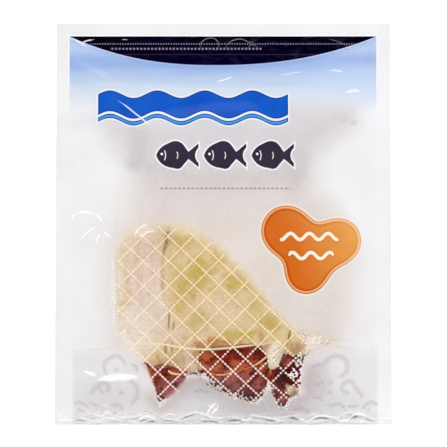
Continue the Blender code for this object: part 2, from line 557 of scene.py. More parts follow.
def new_effect(name, build, **inputs):
    """A shader node group. Its inputs are given with their defaults; BUILD makes its outputs from them."""
    group = bpy.data.node_groups.new(name, "ShaderNodeTree")
    wiring = Wiring(group)
    kinds = {"VALUE": "NodeSocketFloat", "RGBA": "NodeSocketColor"}
    for label, value in inputs.items():
        kind = kinds["RGBA" if isinstance(value, tuple) else "VALUE"]
        socket = group.interface.new_socket(name=label.replace("_", " "), in_out="INPUT", socket_type=kind)
        socket.default_value = (*value, 1.0) if isinstance(value, tuple) else value
    entry = wiring.node("NodeGroupInput", {})
    results = build(wiring, *(Wire(wiring, output) for output in entry.outputs[:len(inputs)]))
    for label, wire in results.items():
        group.interface.new_socket(name=label, in_out="OUTPUT", socket_type=kinds[wire.socket.type])
    wiring.feed(wiring.node("NodeGroupOutput", {}), results)
    return group


def new_material(name):
    """A material with an empty tree but for its Principled shader and its output."""
    material = bpy.data.materials.new(name)
    material.use_nodes = True
    return material, Wiring(material.node_tree), material.node_tree.nodes["Principled BSDF"]


# How much brighter than its colour a level white surface and the squid show under these lights
EXPOSURE = 1.09
SHADED = 1.10
PALEST_FLESH = 0.97


def srgb(*shares):
    """A colour as it shows on screen, from 0 to 255, in linear light."""
    shares = [value / 255 for value in shares]
    return [value / 12.92 if value <= 0.04045 else ((value + 0.055) / 1.055) ** 2.4 for value in shares]


def ink(red, green, blue):
    """The colour a print has to have for this colour to show on screen under these lights."""
    return tuple(value / EXPOSURE for value in srgb(red, green, blue))


def flesh(red, green, blue):
    """The same for the squid."""
    return tuple(min(value / SHADED, PALEST_FLESH) for value in srgb(red, green, blue))


# The print, in the photograph's pixels
FRAME_LEFT, FRAME_RIGHT, FRAME_TOP = 69.1, 376.8, 35.9
ARC_LOWEST = (214.0, 64.9)
ARC_POWER = 2.3
SKY_FROM, SKY_TO = 81.0, 118.0
TEAR_LEFT, TEAR_RIGHT, TEAR_LEVEL, TEAR_FADE = 84.0, 362.0, 43.5, 12.0
TEAR_PITCH = 1.9
HEADER_LINE = 54.2
NOTES_LEFT, NOTES_RIGHT, NOTES_LEVEL = 109.0, 262.0, 48.4
NOTES_PITCH = 2.7
WAVE_LEFT, WAVE_RIGHT, WAVE_MIDDLE = 98.0, 288.0, 104.5
WAVE_THICK, WAVE_THIN, WAVE_GAP = 15.5, 3.2, 1.9
WAVE_SWING = 2.8
WAVE_LENGTH = 35.4
LOBES = ((286.2, 230.8, 25.2), (339.0, 240.6, 22.2), (305.7, 274.1, 19.7))
LOBE_BLENDS = (40.7, 28.5)
STROKE_ROWS = ((281.5, 337.0, 236.5), (290.0, 332.0, 255.5))
STROKE_SWING, STROKE_THICK, STROKE_LENGTH = 2.3, 2.7, 14.0
FISH_MIDDLE = (225.0, 155.5)
FISH_STEP = 35.5
FISH_LENGTH, FISH_DEPTH = 25.0, 18.5
RULE_LEFT, RULE_RIGHT, RULE_LEVEL = 160.5, 290.0, 188.5
RULE_DASH, RULE_GAP = 2.2, 1.1
# Half the width, in millimetres, over which a printed edge eases
CRISP, SHARPER = 0.15, 0.12


def sky_streaks(wiring):
    return wiring.noise(0.16, 3.0, 0.6, (0.10, 1.0, 1.0))


def header_print(wiring):
    """The dark arc along the top, with its pale line, tear line and dashes, over a sky that fades away."""
    x, y = wiring.place()
    left, right, top = column(FRAME_LEFT), column(FRAME_RIGHT), level(FRAME_TOP)
    lowest_x, lowest_y = face(*ARC_LOWEST)
    reach = x.ease(lowest_x - 0.01, lowest_x + 0.01, lowest_x - left, right - lowest_x)
    share = abs(x - lowest_x) / reach
    below = share ** ARC_POWER * (top - lowest_y) + lowest_y - y
    framed = least(x.within(left - CRISP, right + CRISP, 2 * CRISP), y.ease(top + CRISP, top - CRISP))
    dark = below.ease(CRISP, -CRISP) * framed
    line = abs(below - 0.4).ease(0.55, 0.15) * framed * share.ease(0.3, 0.8, 0.25, 0.8)
    streaks = sky_streaks(wiring)
    sky = (y + (streaks - 0.5) * 9.0).ease(level(SKY_TO), level(SKY_FROM)) * framed
    outside = most(left - x, x - right, y - top)
    halo = outside.ease(1.5, 0.3) * outside.ease(-0.1, 0.15) * y.ease(level(94), level(84))
    corners = wiring.dots(0.95).ease(0.52, 0.38) * abs(x).ease(62.0, 104.0)
    screen = corners * below.ease(7.5, 1.0) * below.ease(0.6, 1.2) * framed
    cell = (x / TEAR_PITCH).math("FRACT") - 0.5
    tear = length(cell * TEAR_PITCH, y - level(TEAR_LEVEL)).ease(0.6, 0.35)
    tear = tear * x.within(column(TEAR_LEFT), column(TEAR_RIGHT), TEAR_FADE * PIXEL)
    notes = (x / NOTES_PITCH).math("FRACT").ease(0.62, 0.52) * abs(y - level(NOTES_LEVEL)).ease(0.9, 0.5)
    notes = notes * x.within(column(NOTES_LEFT), column(NOTES_RIGHT), PIXEL)
    rule = abs(y - level(HEADER_LINE)).ease(0.5, 0.2)
    return {"Dark": dark, "Line": line, "Sky": sky, "Tear": tear * dark, "Rule": rule * dark,
            "Streaks": streaks, "Halo": halo, "Screen": screen, "Below": below, "Notes": notes * dark}


def wave_print(wiring):
    """Two rippled ribbons, one broad and one slim, each with a dark edge and a pale surround."""
    x, y = wiring.place()
    left, middle = face(WAVE_LEFT, WAVE_MIDDLE)
    swing = ((x - left) * (math.tau / WAVE_LENGTH)).math("SINE") * WAVE_SWING
    height = y - middle - swing
    broad = WAVE_THICK / 2 - abs(height)
    slim = WAVE_THIN / 2 - abs(height + (WAVE_THICK / 2 + WAVE_GAP + WAVE_THIN / 2))
    within = least(most(broad, slim), x - left, column(WAVE_RIGHT) - x)
    return {"Fill": within.ease(-SHARPER, SHARPER), "Edge": abs(within - 0.35).ease(0.55, 0.2),
            "Surround": within.ease(-1.7, -0.7),
            "Slim": (height + (WAVE_THICK / 2 + WAVE_GAP / 2)).ease(0.1, -0.1)}


def label_inside(x, y):
    """How far inside the three-lobed patch's outline each point is, in millimetres."""
    def smooth_least(a, b, blend):
        near = np.maximum(blend - np.abs(a - b), 0) / blend
        return np.minimum(a, b) - near ** 3 * blend / 6

    def blended(x, y):
        upper, right, lower = (np.hypot(x - column(across), y - level(down)) - radius * PIXEL
                               for across, down, radius in LOBES)
        return smooth_least(smooth_least(right, lower, LOBE_BLENDS[0]), upper, LOBE_BLENDS[1])

    step = 0.05
    slope = np.hypot(blended(x + step, y) - blended(x - step, y),
                     blended(x, y + step) - blended(x, y - step))
    return -blended(x, y) / np.maximum(slope / (2 * step), 0.35)


def label_print(wiring):
    """The two rows of ripples on the three-lobed patch."""
    x, y = wiring.place()
    reaches = []
    for left, right, down in STROKE_ROWS:
        start, end = column(left), column(right)
        from_middle = x - (start + end) / 2
        phase = from_middle * (math.tau / STROKE_LENGTH)
        height = y - level(down) - phase.math("COSINE") * STROKE_SWING
        slope = phase.math("SINE") * (STROKE_SWING * math.tau / STROKE_LENGTH)
        beyond = abs(from_middle) - (end - start) / 2
        reaches.append(length(most(beyond, 0.0), height / length(slope, 1.0)))
    from_rim = least(*reaches) - STROKE_THICK / 2
    return {"Across": x, "Up": y, "Strokes": from_rim.ease(CRISP, -CRISP),
            "Shadows": from_rim.ease(1.1, 0.0)}


def fish_print(wiring):
    """Three plain fish, each a lens with a notched tail, a gill line and an eye, and a rule of dashes."""
    x, y = wiring.place()
    middle_x, middle_y = face(*FISH_MIDDLE)
    cell = least(most(((x - middle_x) / FISH_STEP).math("ROUND"), -1.0), 1.0)
    u, v = x - (middle_x - 3.2) - cell * FISH_STEP, y - middle_y
    half, deep = FISH_LENGTH / 2, FISH_DEPTH / 2
    radius = (half ** 2 + deep ** 2) / (2 * deep)
    body = radius - most(length(u, v - (radius - deep)), length(u, v + (radius - deep)))
    tail = least((u - (half - 4.0)) * 0.85 - abs(v), length(u - (half + 11.5), v) - 7.5, half + 6.5 - u)
    fins = most(7.0 - length(u - 2.0, v - (deep - 5.6)), 4.0 - length(u - 3.4, v + (deep - 3.2)))
    inside = body.math("SMOOTH_MAX", tail, 1.5).math("SMOOTH_MAX", fins, 2.5)
    eye = length(u + (half - 4.2), v - 1.0) - 0.95
    gill = most(abs(length(u + (half + 1.2), v) - 8.2) - 0.35, abs(v) - 3.6)
    stripe = most(abs(length(u + 2.0, v) - 5.6) - 0.3, abs(v) - 2.6, -u)
    dark = inside.ease(-SHARPER, SHARPER) * least(eye, gill, stripe).ease(-SHARPER, SHARPER)
    start, end = column(RULE_LEFT), column(RULE_RIGHT)
    period = RULE_DASH + RULE_GAP
    dash = ((x - start) / period).math("FRACT").ease(RULE_DASH / period + 0.05, RULE_DASH / period - 0.05)
    dash = dash * abs(y - level(RULE_LEVEL)).ease(0.75, 0.45) * x.within(start - 0.1, end, 0.1)
    return {"Dark": dark, "Halo": inside.ease(-1.5, -0.7), "Dashes": dash}


# The clear window: its lower and upper edge at a few places across, in the photograph's pixels
WINDOW_LOWER = ((104, 300), (112, 322), (118, 334), (126, 346), (135, 356), (143.5, 363), (148, 372),
                (153.5, 384), (156, 391), (157, 399), (159, 404), (163, 404), (166, 399.5), (172.5, 394.5),
                (178.5, 388.5), (184, 381.5), (188, 375), (193, 374.5), (201, 375), (207, 379.5),
                (213, 382.5), (220, 387.5), (226, 391.5), (233, 395), (240, 395), (248, 398.5),
                (256, 401.5), (262, 400), (265.5, 393), (268, 386), (269.5, 385), (271, 389.5), (275, 398),
                (280, 405.5), (283, 408), (287, 405), (291, 398), (297, 394), (300, 387), (302, 376),
                (304, 362), (306, 355), (309, 350), (313, 346.5), (320, 344.5), (330, 343), (346, 338),
                (360, 330))
WINDOW_UPPER = ((104, 290), (112, 268), (117, 248), (123, 236), (130, 230), (142, 226), (160, 224),
                (178, 225), (190, 229), (205, 236), (216, 243), (232, 258), (248, 275), (262, 292),
                (275, 309.5), (290, 324), (297, 331), (305, 338), (312, 341), (320, 344.5), (333, 347),
                (346, 350), (360, 356))
WINDOW_SPAN = (104.0, 360.0)
WINDOW_LEVELS = (200.0, 420.0)
WINDOW_LEFT = 114.5
# How much nearer its sloping edges are than they are straight up or down
WINDOW_SLANT = 0.75


def edge_curve(wiring, share, points):
    """A curve node that gives the window's edge, as a row of pixels, for a share of WINDOW_SPAN."""
    made = wiring.node("ShaderNodeFloatCurve", {"Value": share})
    curve = made.mapping.curves[0]
    (left, right), (low, high) = WINDOW_SPAN, WINDOW_LEVELS
    first, *between, last = [((across - left) / (right - left), (down - low) / (high - low))
                             for across, down in points]
    curve.points[0].location = first
    curve.points[-1].location = last
    for point in between:
        curve.points.new(*point)
    for point in curve.points:
        point.handle_type = "VECTOR"
    made.mapping.update()
    return Wire(wiring, made.outputs["Value"]) * (high - low) + low


def window_print(wiring):
    """How far inside the clear window each point is, in millimetres, and how coarse the print's fade is."""
    x, y = wiring.place()
    across = x / PIXEL + MIDDLE_PIXEL[0]
    down = MIDDLE_PIXEL[1] - y / PIXEL
    share = (across - WINDOW_SPAN[0]) / (WINDOW_SPAN[1] - WINDOW_SPAN[0])
    above = (down - edge_curve(wiring, share, WINDOW_UPPER)) * (WINDOW_SLANT * PIXEL)
    below = (edge_curve(wiring, share, WINDOW_LOWER) - down) * (WINDOW_SLANT * PIXEL)
    inside = least(above, (across - WINDOW_LEFT) * PIXEL, below)
    lower_side = (below - above).ease(6.0, -6.0)
    coarse = most(lower_side * across.ease(182, 196, 0.25, 1.0), across.ease(290, 306))
    return {"Inside": inside, "Coarse": coarse, "Sharp": lower_side * across.ease(140, 152)}


def milky_print(wiring):
    """The milky print's own unevenness: clouds, horizontal mist and fine grain."""
    grain = wiring.noise(0.35, 3.0, 0.6, shift=(2, 9, 4))
    return {"Clouds": wiring.noise(0.018, 3.0, 0.55), "Grain": grain,
            "Mist": wiring.noise(0.05, 2.0, 0.5, (0.35, 1.0, 1.0), (3.0, 1.0, 0.0))}


def film_crinkle(wiring, soft, sharp):
    """Fine crinkles of thin film, as a height in millimetres."""
    folds = abs(wiring.noise(0.07, 4.0, 0.65, shift=(5, 2, 1)) - 0.5)
    return {"Height": wiring.noise(0.12, 3.0, 0.6) * soft + folds * sharp}


def worn_ink(wiring, colour, cover, wear, strength):
    """Flat printed ink, a little worn and uneven."""
    grain = wiring.noise(0.7, 3.0, 0.6)
    shade = wiring.mix(1.0, colour, (0.8, 0.8, 0.8), "MULTIPLY")
    left = grain.ease(0.25, 0.5, cover * (1.0 - wear), cover)
    return {"Colour": wiring.mix(grain * 0.4, colour, shade), "Alpha": left * strength}


def ragged_stain(wiring, stain, tear, low, high):
    """A stain whose edge is torn by noise."""
    return {"Share": (stain + tear).ease(low, high)}


EFFECTS = {
    "header": new_effect("print_header", header_print),
    "waves": new_effect("print_waves", wave_print),
    "label": new_effect("print_label", label_print),
    "fish": new_effect("print_fish", fish_print),
    "window": new_effect("print_window", window_print),
    "milk": new_effect("milky_print", milky_print),
    "crinkle": new_effect("film_crinkle", film_crinkle, Soft=0.25, Sharp=0.9),
    "ink": new_effect("worn_ink", worn_ink, Colour=(1.0, 1.0, 1.0), Cover=1.0, Wear=0.3, Strength=1.0),
    "stain": new_effect("ragged_stain", ragged_stain, Stain=0.0, Tear=0.0, Low=0.0, High=1.0),
}


def plastic_film(wiring, shader, colour, alpha, gloss_roughness):
    """A dull crinkled body under its own gloss, which mirrors the lights where the film is clear too."""
    creased = wiring.effect(EFFECTS["crinkle"], Soft=0.25, Sharp=0.9)
    normal = wiring.bump(creased["Height"], 0.5, 0.0005)
    wiring.feed(shader, {"Base Color": colour, "Alpha": alpha, "Roughness": 0.45,
                         "Specular IOR Level": 0.0, "Normal": normal})
    gloss = wiring.node("ShaderNodeBsdfGlossy", {"Roughness": gloss_roughness, "Normal": normal})
    share = wiring.node("ShaderNodeFresnel", {"IOR": 1.45, "Normal": normal})
    blend = wiring.node("ShaderNodeMixShader", {0: Wire(wiring, share.outputs[0]),
                                                1: Wire(wiring, shader.outputs["BSDF"]),
                                                2: Wire(wiring, gloss.outputs["BSDF"])})
    wiring.feed(wiring.tree.nodes["Material Output"], {"Surface": Wire(wiring, blend.outputs[0])})


def milky_colours(wiring, x, y, tan, speckle):
    """The milky print, warmer and greyer where the squid lies against it, with its lumps; painted shade
    beside its folds, in the hem's hollows and low down, and painted highlights on the hem's crests.
    """
    mix = wiring.mix
    warm, blush_and_shade, lilac, dim, glow, hollow, crest = map(wiring.noted, (
        "over_squid", "blush_and_shade", "lilac", "dim", "arm_glow", "fold_hollow_shade", "fold_crest_highlight"))
    milk = wiring.effect(EFFECTS["milk"])
    clouds, mist, grain = milk["Clouds"], milk["Mist"].ease(0.3, 0.7), milk["Grain"]
    across = x.ease(-90.0, 110.0)
    cool = mix(clouds.ease(0.35, 0.65), mix(across, ink(238, 236, 236), ink(241, 240, 243)),
               mix(across, ink(244, 243, 243), ink(248, 247, 250)))
    warmer = wiring.coats(
        mix(mist, ink(226, 217, 212), ink(231, 222, 218)),
        (clouds.ease(0.6, 0.35) * 0.4, ink(223, 216, 217)),
        (y.ease(level(220), level(164)), mix(mist, ink(212, 206, 209), ink(220, 214, 217))))
    torn = wiring.noise(0.07, 3.0, 0.55, shift=(8, 0, 2)).ease(0.25, 0.7, 0.5, 0.95)
    panel = least(x.ease(column(71.5), column(73.5)), x.ease(column(380), column(376)))
    low = y.ease(level(340), level(362)) * panel
    flecks = speckle.ease(0.1, 0.5, 0.0, 0.9) * most(x.ease(column(304), column(299)), tan)
    lumps = wiring.dots(0.36).ease(0.42, 0.22) * tan.ease(0.4, 0.7)
    return wiring.coats(
        cool, (warm, warmer),
        (tan * 0.8, ink(222, 204, 178)),
        # Darker pinkish grey smears, partly painted shade beside the film's folds
        (blush_and_shade * torn, ink(205, 197, 199)),
        (lilac * 0.9, ink(217, 218, 228)),
        (low * 0.45, ink(222, 217, 218)),
        # Painted shade over the lower part of the pouch
        (dim * panel, ink(198, 194, 199)),
        (glow * grain.ease(0.3, 0.6, 0.5, 1.0), ink(192, 172, 164)),
        (grain.ease(0.45, 0.75) * 0.18, ink(246, 243, 245)),
        (flecks, ink(250, 232, 236)),
        (lumps * 0.8, ink(252, 246, 240)),
        # Painted shade in the hem's hollows, and painted highlights on their crests
        (hollow * 0.4, mix(x.ease(-90, -55), ink(150, 128, 128), ink(126, 124, 134))),
        (crest * 0.6, ink(253, 253, 255)))


def sky_colours(wiring, x, y, header):
    """The blues below the arc, deepest along it and paler to the right."""
    height = y + (header["Streaks"] - 0.5) * 9.0 - x.ease(20.0, 110.0) * 2.5
    paler = x.ease(30.0, 105.0, 0.0, 0.5) * y.ease(level(56), level(70), 0.2, 1.0)
    return wiring.coats(
        wiring.mix(y.ease(level(60), level(48)), ink(150, 178, 230), ink(180, 201, 240)),
        (height.ease(level(64), level(78)), ink(182, 203, 236)),
        (height.ease(level(76), level(90)), ink(206, 220, 240)),
        (paler, ink(200, 220, 254)),
        (header["Below"].ease(6.0, 1.0, 0.0, 0.85), ink(142, 174, 227)))


def label_colours(wiring, y, inside, label):
    """The three-lobed label, lighter to its upper right and darker within its rim, with its strokes."""
    mix = wiring.mix
    slope = (label["Across"] + label["Up"] * 0.4).ease(34.0, 98.0)
    bright = (label["Across"] + label["Up"] * 0.6).ease(82.0, 104.0)
    inner = inside.ease(4.4, 2.6) * (1.0 - slope * 0.8)
    dark_rim = inside.ease(0.9, 0.35) * (1.0 - slope * 0.5)
    return wiring.coats(
        mix(slope, ink(218, 108, 24), ink(240, 168, 84)),
        (wiring.noise(0.12) * 0.3, ink(206, 92, 14)),
        (bright * 0.5, ink(247, 190, 118)),
        (inner * 0.85, ink(184, 72, 4)),
        (inside.ease(2.5, 1.7), mix(slope, ink(245, 168, 108), ink(252, 200, 146))),
        (dark_rim, mix(y.ease(-15.0, -45.0), ink(150, 104, 80), ink(112, 66, 34))),
        (label["Shadows"] * 0.55, ink(150, 74, 18)),
        (label["Strokes"], ink(255, 238, 216)))


def header_colours(wiring, x, y, header):
    """The near-black navy of the arc, a little smudged, with its row of notches."""
    smudge = wiring.noise(0.3, 3.0, 0.6, (0.4, 1.0, 1.0), (1, 6, 2)).ease(0.46, 0.72)
    return wiring.coats(
        wiring.mix(y.ease(level(42), level(64)), ink(0, 0, 16), ink(1, 0, 34)),
        (smudge * x.ease(-60, 30, 0.3, 0.7), ink(32, 24, 64)),
        (header["Notes"] * 0.7, ink(158, 148, 180)))


def window_fade(wiring, x, y, window, speckle):
    """0 where the window is clear and 1 where the print is full, with an edge that is soft or in specks."""
    low_left = x.ease(column(150), column(120)) * y.ease(level(290), level(350))
    edge = window["Inside"] + (wiring.noise(0.28, 2.0, 0.6) - 0.5) * 4.0 - low_left * 5.0
    soft = (edge * (window["Sharp"] + 1.0)).ease(6.0, -5.0)
    specks = (wiring.dots(0.42) - 0.42) * x.ease(column(276), column(296), -9.0, -14.0)
    rough = (least(window["Inside"], 7.0) + specks - speckle * 15.0).ease(0.1, -1.3)
    return soft + (rough - soft) * window["Coarse"]


def front_film_material():
    """The printed front: clear at the window, milky elsewhere, with its inks."""
    material, wiring, shader = new_material("front_film")
    x, y = wiring.place()
    header, waves, label, fish, window = (wiring.effect(EFFECTS[name])
                                          for name in ("header", "waves", "label", "fish", "window"))
    tan, speckle, inside = map(wiring.noted, ("tan", "speckle", "label"))
    blues = wiring.mix(wiring.noise(0.05), ink(6, 70, 180), ink(22, 102, 216))
    colour = wiring.coats(
        milky_colours(wiring, x, y, tan, speckle),
        (header["Sky"], sky_colours(wiring, x, y, header)),
        (header["Screen"] * 0.5, ink(218, 230, 252)),
        (header["Halo"] * 0.9, ink(252, 253, 255)),
        (fish["Halo"], ink(248, 248, 254)),
        (fish["Dark"], ink(10, 4, 56)),
        (fish["Dashes"] * 0.62, ink(92, 84, 92)),
        (waves["Surround"] * 0.85, ink(232, 246, 255)),
        (waves["Fill"], wiring.mix(waves["Slim"], blues, ink(74, 150, 232))),
        (waves["Edge"] * waves["Fill"], ink(14, 40, 120)),
        (inside.ease(-2.2, -0.3) * 0.85, ink(253, 236, 222)),
        (inside.ease(-0.1, 0.12), label_colours(wiring, y, inside, label)),
        (header["Line"], ink(218, 214, 250)),
        (header["Dark"], header_colours(wiring, x, y, header)),
        (header["Tear"] * 0.65, ink(176, 166, 208)),
        (header["Rule"] * 0.35, ink(84, 58, 84)))
    milky = window_fade(wiring, x, y, window, speckle)
    solid = most(header["Dark"], waves["Fill"], inside.ease(-0.5, 0.1))
    colour = wiring.mix((1.0 - milky) * (1.0 - solid), colour, ink(250, 244, 236))
    plastic_film(wiring, shader, colour, most(milky * 0.946 + 0.004, solid), 0.11)
    return material


def back_film_material():
    """The plain milky back."""
    material, wiring, shader = new_material("back_film")
    milk = wiring.effect(EFFECTS["milk"])
    colour = wiring.mix(milk["Clouds"], ink(232, 232, 236), ink(242, 242, 245))
    plastic_film(wiring, shader, colour, milk["Grain"] * 0.06 + 0.90, 0.14)
    return material


# Soft ovals of tint, in the photograph's pixels: the middle, half the width and height, the turn in
# degrees, the blur and the strength. These are the milky print's, where things show through it or its
# lumps are dense; dim is painted shade over the lower part of the pouch.
Patch = namedtuple("Patch", "x y half_x half_y turn blur strength")
FILM_PATCHES = {
    "tan": (
        (314, 340, 22, 8, -8, 9, 0.8), (186, 230, 60, 13, 0, 10, 0.35), (250, 290, 22, 60, -40, 10, 0.25),
        (120, 270, 9, 50, 0, 9, 0.3), (310, 352, 12, 6, 0, 7, 0.4), (137, 366, 10, 6, 30, 6, 0.45),
        (299, 392, 6, 7, 0, 6, 0.5), (356, 300, 16, 46, 0, 14, 0.18),
    ),
    "lilac": (
        (190, 121, 92, 9, 0, 9, 0.95), (224, 146, 74, 22, 0, 12, 0.45),
    ),
    "dim": (
        (268, 406, 62, 18, 0, 16, 1.0), (206, 390, 34, 13, 0, 12, 0.95), (316, 384, 16, 22, 0, 10, 0.8),
        (182, 404, 26, 10, 0, 10, 0.5), (112, 400, 36, 20, 0, 14, 0.3), (266, 417, 84, 6, 0, 7, 0.5),
    ),
    "speckle": (
        (299, 361, 7, 8, 0, 4, 0.56), (294, 374, 6, 6, -20, 4, 0.58), (302, 372, 4, 9, 0, 4, 0.56),
        (312, 343, 8, 7, -20, 5, 0.4), (303, 390, 4, 8, 0, 4, 0.56), (290, 364, 3, 3, 0, 3, 0.40),
        (192, 376, 7, 2, 0, 4, 0.4), (269, 387, 3, 4, 0, 3, 0.4), (206, 377, 6, 2.5, -30, 3, 0.40),
    ),
}
# The same along a line, with one half width
Smear = namedtuple("Smear", "path half blur strength")
FILM_SMEARS = {
    # Darker pinkish grey smears, partly painted shade beside the film's folds
    "blush_and_shade": (
        Smear(((141, 128), (140, 146), (136, 162)), 9, 7, 0.95),
        Smear(((133, 140), (131, 152), (131, 164)), 2, 4, 1.0),
        Smear(((152, 166), (190, 178), (246, 180), (300, 172)), 9, 12, 0.65),
        Smear(((172, 190), (166, 204), (160, 216)), 8, 10, 0.4),
        Smear(((303, 156), (301, 172), (296, 186)), 8, 7, 0.7),
        Smear(((352, 123), (355, 122.5)), 1.5, 2.5, 1.0),
        Smear(((341, 121), (345, 120)), 1.0, 2.5, 0.8),
    ),
    "arm_glow": (
        Smear(((150, 398), (162, 408), (178, 394), (192, 381), (206, 382), (222, 396), (240, 402),
               (262, 406), (270, 396), (284, 412), (296, 403), (308, 392), (311, 372)), 4, 11, 0.85),
    ),
}
OVER_SQUID = ((104, 108), (106, 134), (118, 152), (130, 172), (134, 190), (126, 214), (112, 240),
              (108, 270), (108, 300), (110, 350), (200, 380), (330, 360), (346, 345), (348, 310),
              (350, 270), (350, 236), (334, 205), (316, 190), (312, 170), (318, 152), (330, 140),
              (344, 130), (354, 118), (352, 106), (300, 102), (200, 102))


def patch_shares(stains, x, y):
    """The strongest of each stain's patches at each point."""
    shares = {}
    for stain, patches in stains.items():
        shares[stain] = np.zeros(np.shape(x))
        for patch in map(Patch._make, patches):
            across, along = turned(x, y, face(patch.x, patch.y), patch.turn)
            reach = np.hypot(across / PIXEL / patch.half_x, along / PIXEL / patch.half_y)
            slope = patch.blur / min(patch.half_x, patch.half_y)
            share = patch.strength * smooth(0.5 + (1.0 - reach) / (2 * slope))
            shares[stain] = np.maximum(shares[stain], share)
    return shares


def smear_share(smears, x, y):
    """The strongest of some soft lines at each point."""
    best = np.zeros(np.shape(x))
    for smear in smears:
        gap = distance_to_path(x, y, smear.path, 3)[0] / PIXEL
        best = np.maximum(best, smear.strength * smooth(0.5 + (smear.half - gap) / (2 * smear.blur)))
    return best


def build_film():
    """One closed envelope: the front's grid, the back's grid, and a strip between them round the edge."""
    crease = (level(352), level(337), 0.45)
    hem = (-LENGTH / 2, -LENGTH / 2 + HEM_DEPTH, 0.45)
    middle_width = (TOP_WIDTH + BOTTOM_WIDTH) / 2
    columns = lines(middle_width, SIDE_SEAL, SIDE_SEAL, 1.1)
    rows = lines(LENGTH, BOTTOM_SEAL, TOP_SEAL, 1.1, fine=(hem, crease))
    x, y = np.meshgrid(columns, rows)
    x = x * half_width(y) / (middle_width / 2)
    film = slab("pouch_film", x, y, front_height(x, y), back_height(x, y),
                [front_film_material(), back_film_material()])
    slots = np.ones(len(film.data.polygons), np.int32)
    slots[:(len(rows) - 1) * (len(columns) - 1)] = 0
    film.data.polygons.foreach_set("material_index", slots)
    film.data.set_sharp_from_angle(angle=math.radians(80))
    note(film, {"over_squid": share_inside(OVER_SQUID, x, y, 15.0), "label": label_inside(x, y)})
    note(film, patch_shares(FILM_PATCHES, x, y))
    note(film, {name: smear_share(smears, x, y) for name, smears in FILM_SMEARS.items()})
    note(film, fold_shade(x, y))
    # Thin film lets light through to the squid, whatever its print hides
    film.visible_shadow = False
    film.visible_diffuse = False
    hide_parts("pouch")
    return film


# The squid, in the photograph's pixels. Each sheet lies between four edges: LEFT and RIGHT run up the
# pouch, BOTTOM and TOP run to the right.
Sheet = namedtuple("Sheet", "left right bottom top thickness")
CLEARANCE = 0.30
FLAP_EDGE = ((169, 365.5), (169.5, 350), (169.5, 318), (165, 300), (162, 282), (162, 262), (165, 246),
             (169, 228), (172, 205))
UPPER_MANTLE = Sheet(
    left=((112, 352), (116, 300), (115, 258), (118, 215), (126, 170), (148, 130), (186, 106)),
    right=((287, 344), (290, 330), (298, 304), (303, 270), (304, 230), (301, 190), (292, 152), (272, 120),
           (240, 104)),
    bottom=((112, 352), (130, 359), (146, 363), (153, 366.5), (161, 364.5), (170, 366), (178, 368.5),
            (187, 371.5), (197, 371), (198, 362), (199, 354), (202, 349.5), (211, 347.2), (224, 346.4),
            (233, 345), (245, 344), (256, 343.8), (261, 346.5), (264, 352), (267, 358), (268, 366),
            (271, 369.5), (276, 368), (279, 364), (282, 357), (285, 350), (287, 344)),
    top=((186, 106), (212, 101), (240, 104)),
    thickness=2.0)
FOLDED_MARGIN = Sheet(
    left=((121, 354), (118, 300), (117.5, 258), (121, 226), (128, 206)),
    right=FLAP_EDGE,
    bottom=((121, 354), (132, 359), (146, 362.5), (153, 366), (161, 364), (169, 365.5)),
    top=((128, 206), (150, 199), (172, 205)),
    thickness=1.3)
LOWER_MANTLE = Sheet(
    left=((130, 344), (124, 290), (130, 220), (146, 160), (176, 118)),
    right=((338, 341), (350, 300), (350, 240), (338, 178), (306, 128)),
    bottom=((130, 344), (200, 340), (258, 337), (272, 343), (281, 352), (289, 356), (297, 356.5),
            (306, 355), (320, 348), (338, 341)),
    top=((176, 118), (240, 104), (306, 128)),
    thickness=2.2)
FINS = Sheet(
    left=((101, 152), (104, 140), (112, 132)),
    right=((358, 121), (361, 114), (354, 106)),
    bottom=((101, 152), (150, 172), (213, 186), (292, 172), (330, 146), (358, 121)),
    top=((112, 132), (160, 106), (213, 94), (275, 99), (354, 106)),
    thickness=1.6)
ARM_BED = Sheet(
    left=((162, 400), (150, 382), (146, 360), (150, 346)),
    right=((286, 404), (298, 385), (304, 362), (300, 340)),
    bottom=((162, 400), (176, 396), (196, 384), (226, 395), (254, 403), (268, 388), (286, 404)),
    top=((150, 346), (200, 334), (250, 330), (300, 340)),
    thickness=2.6)
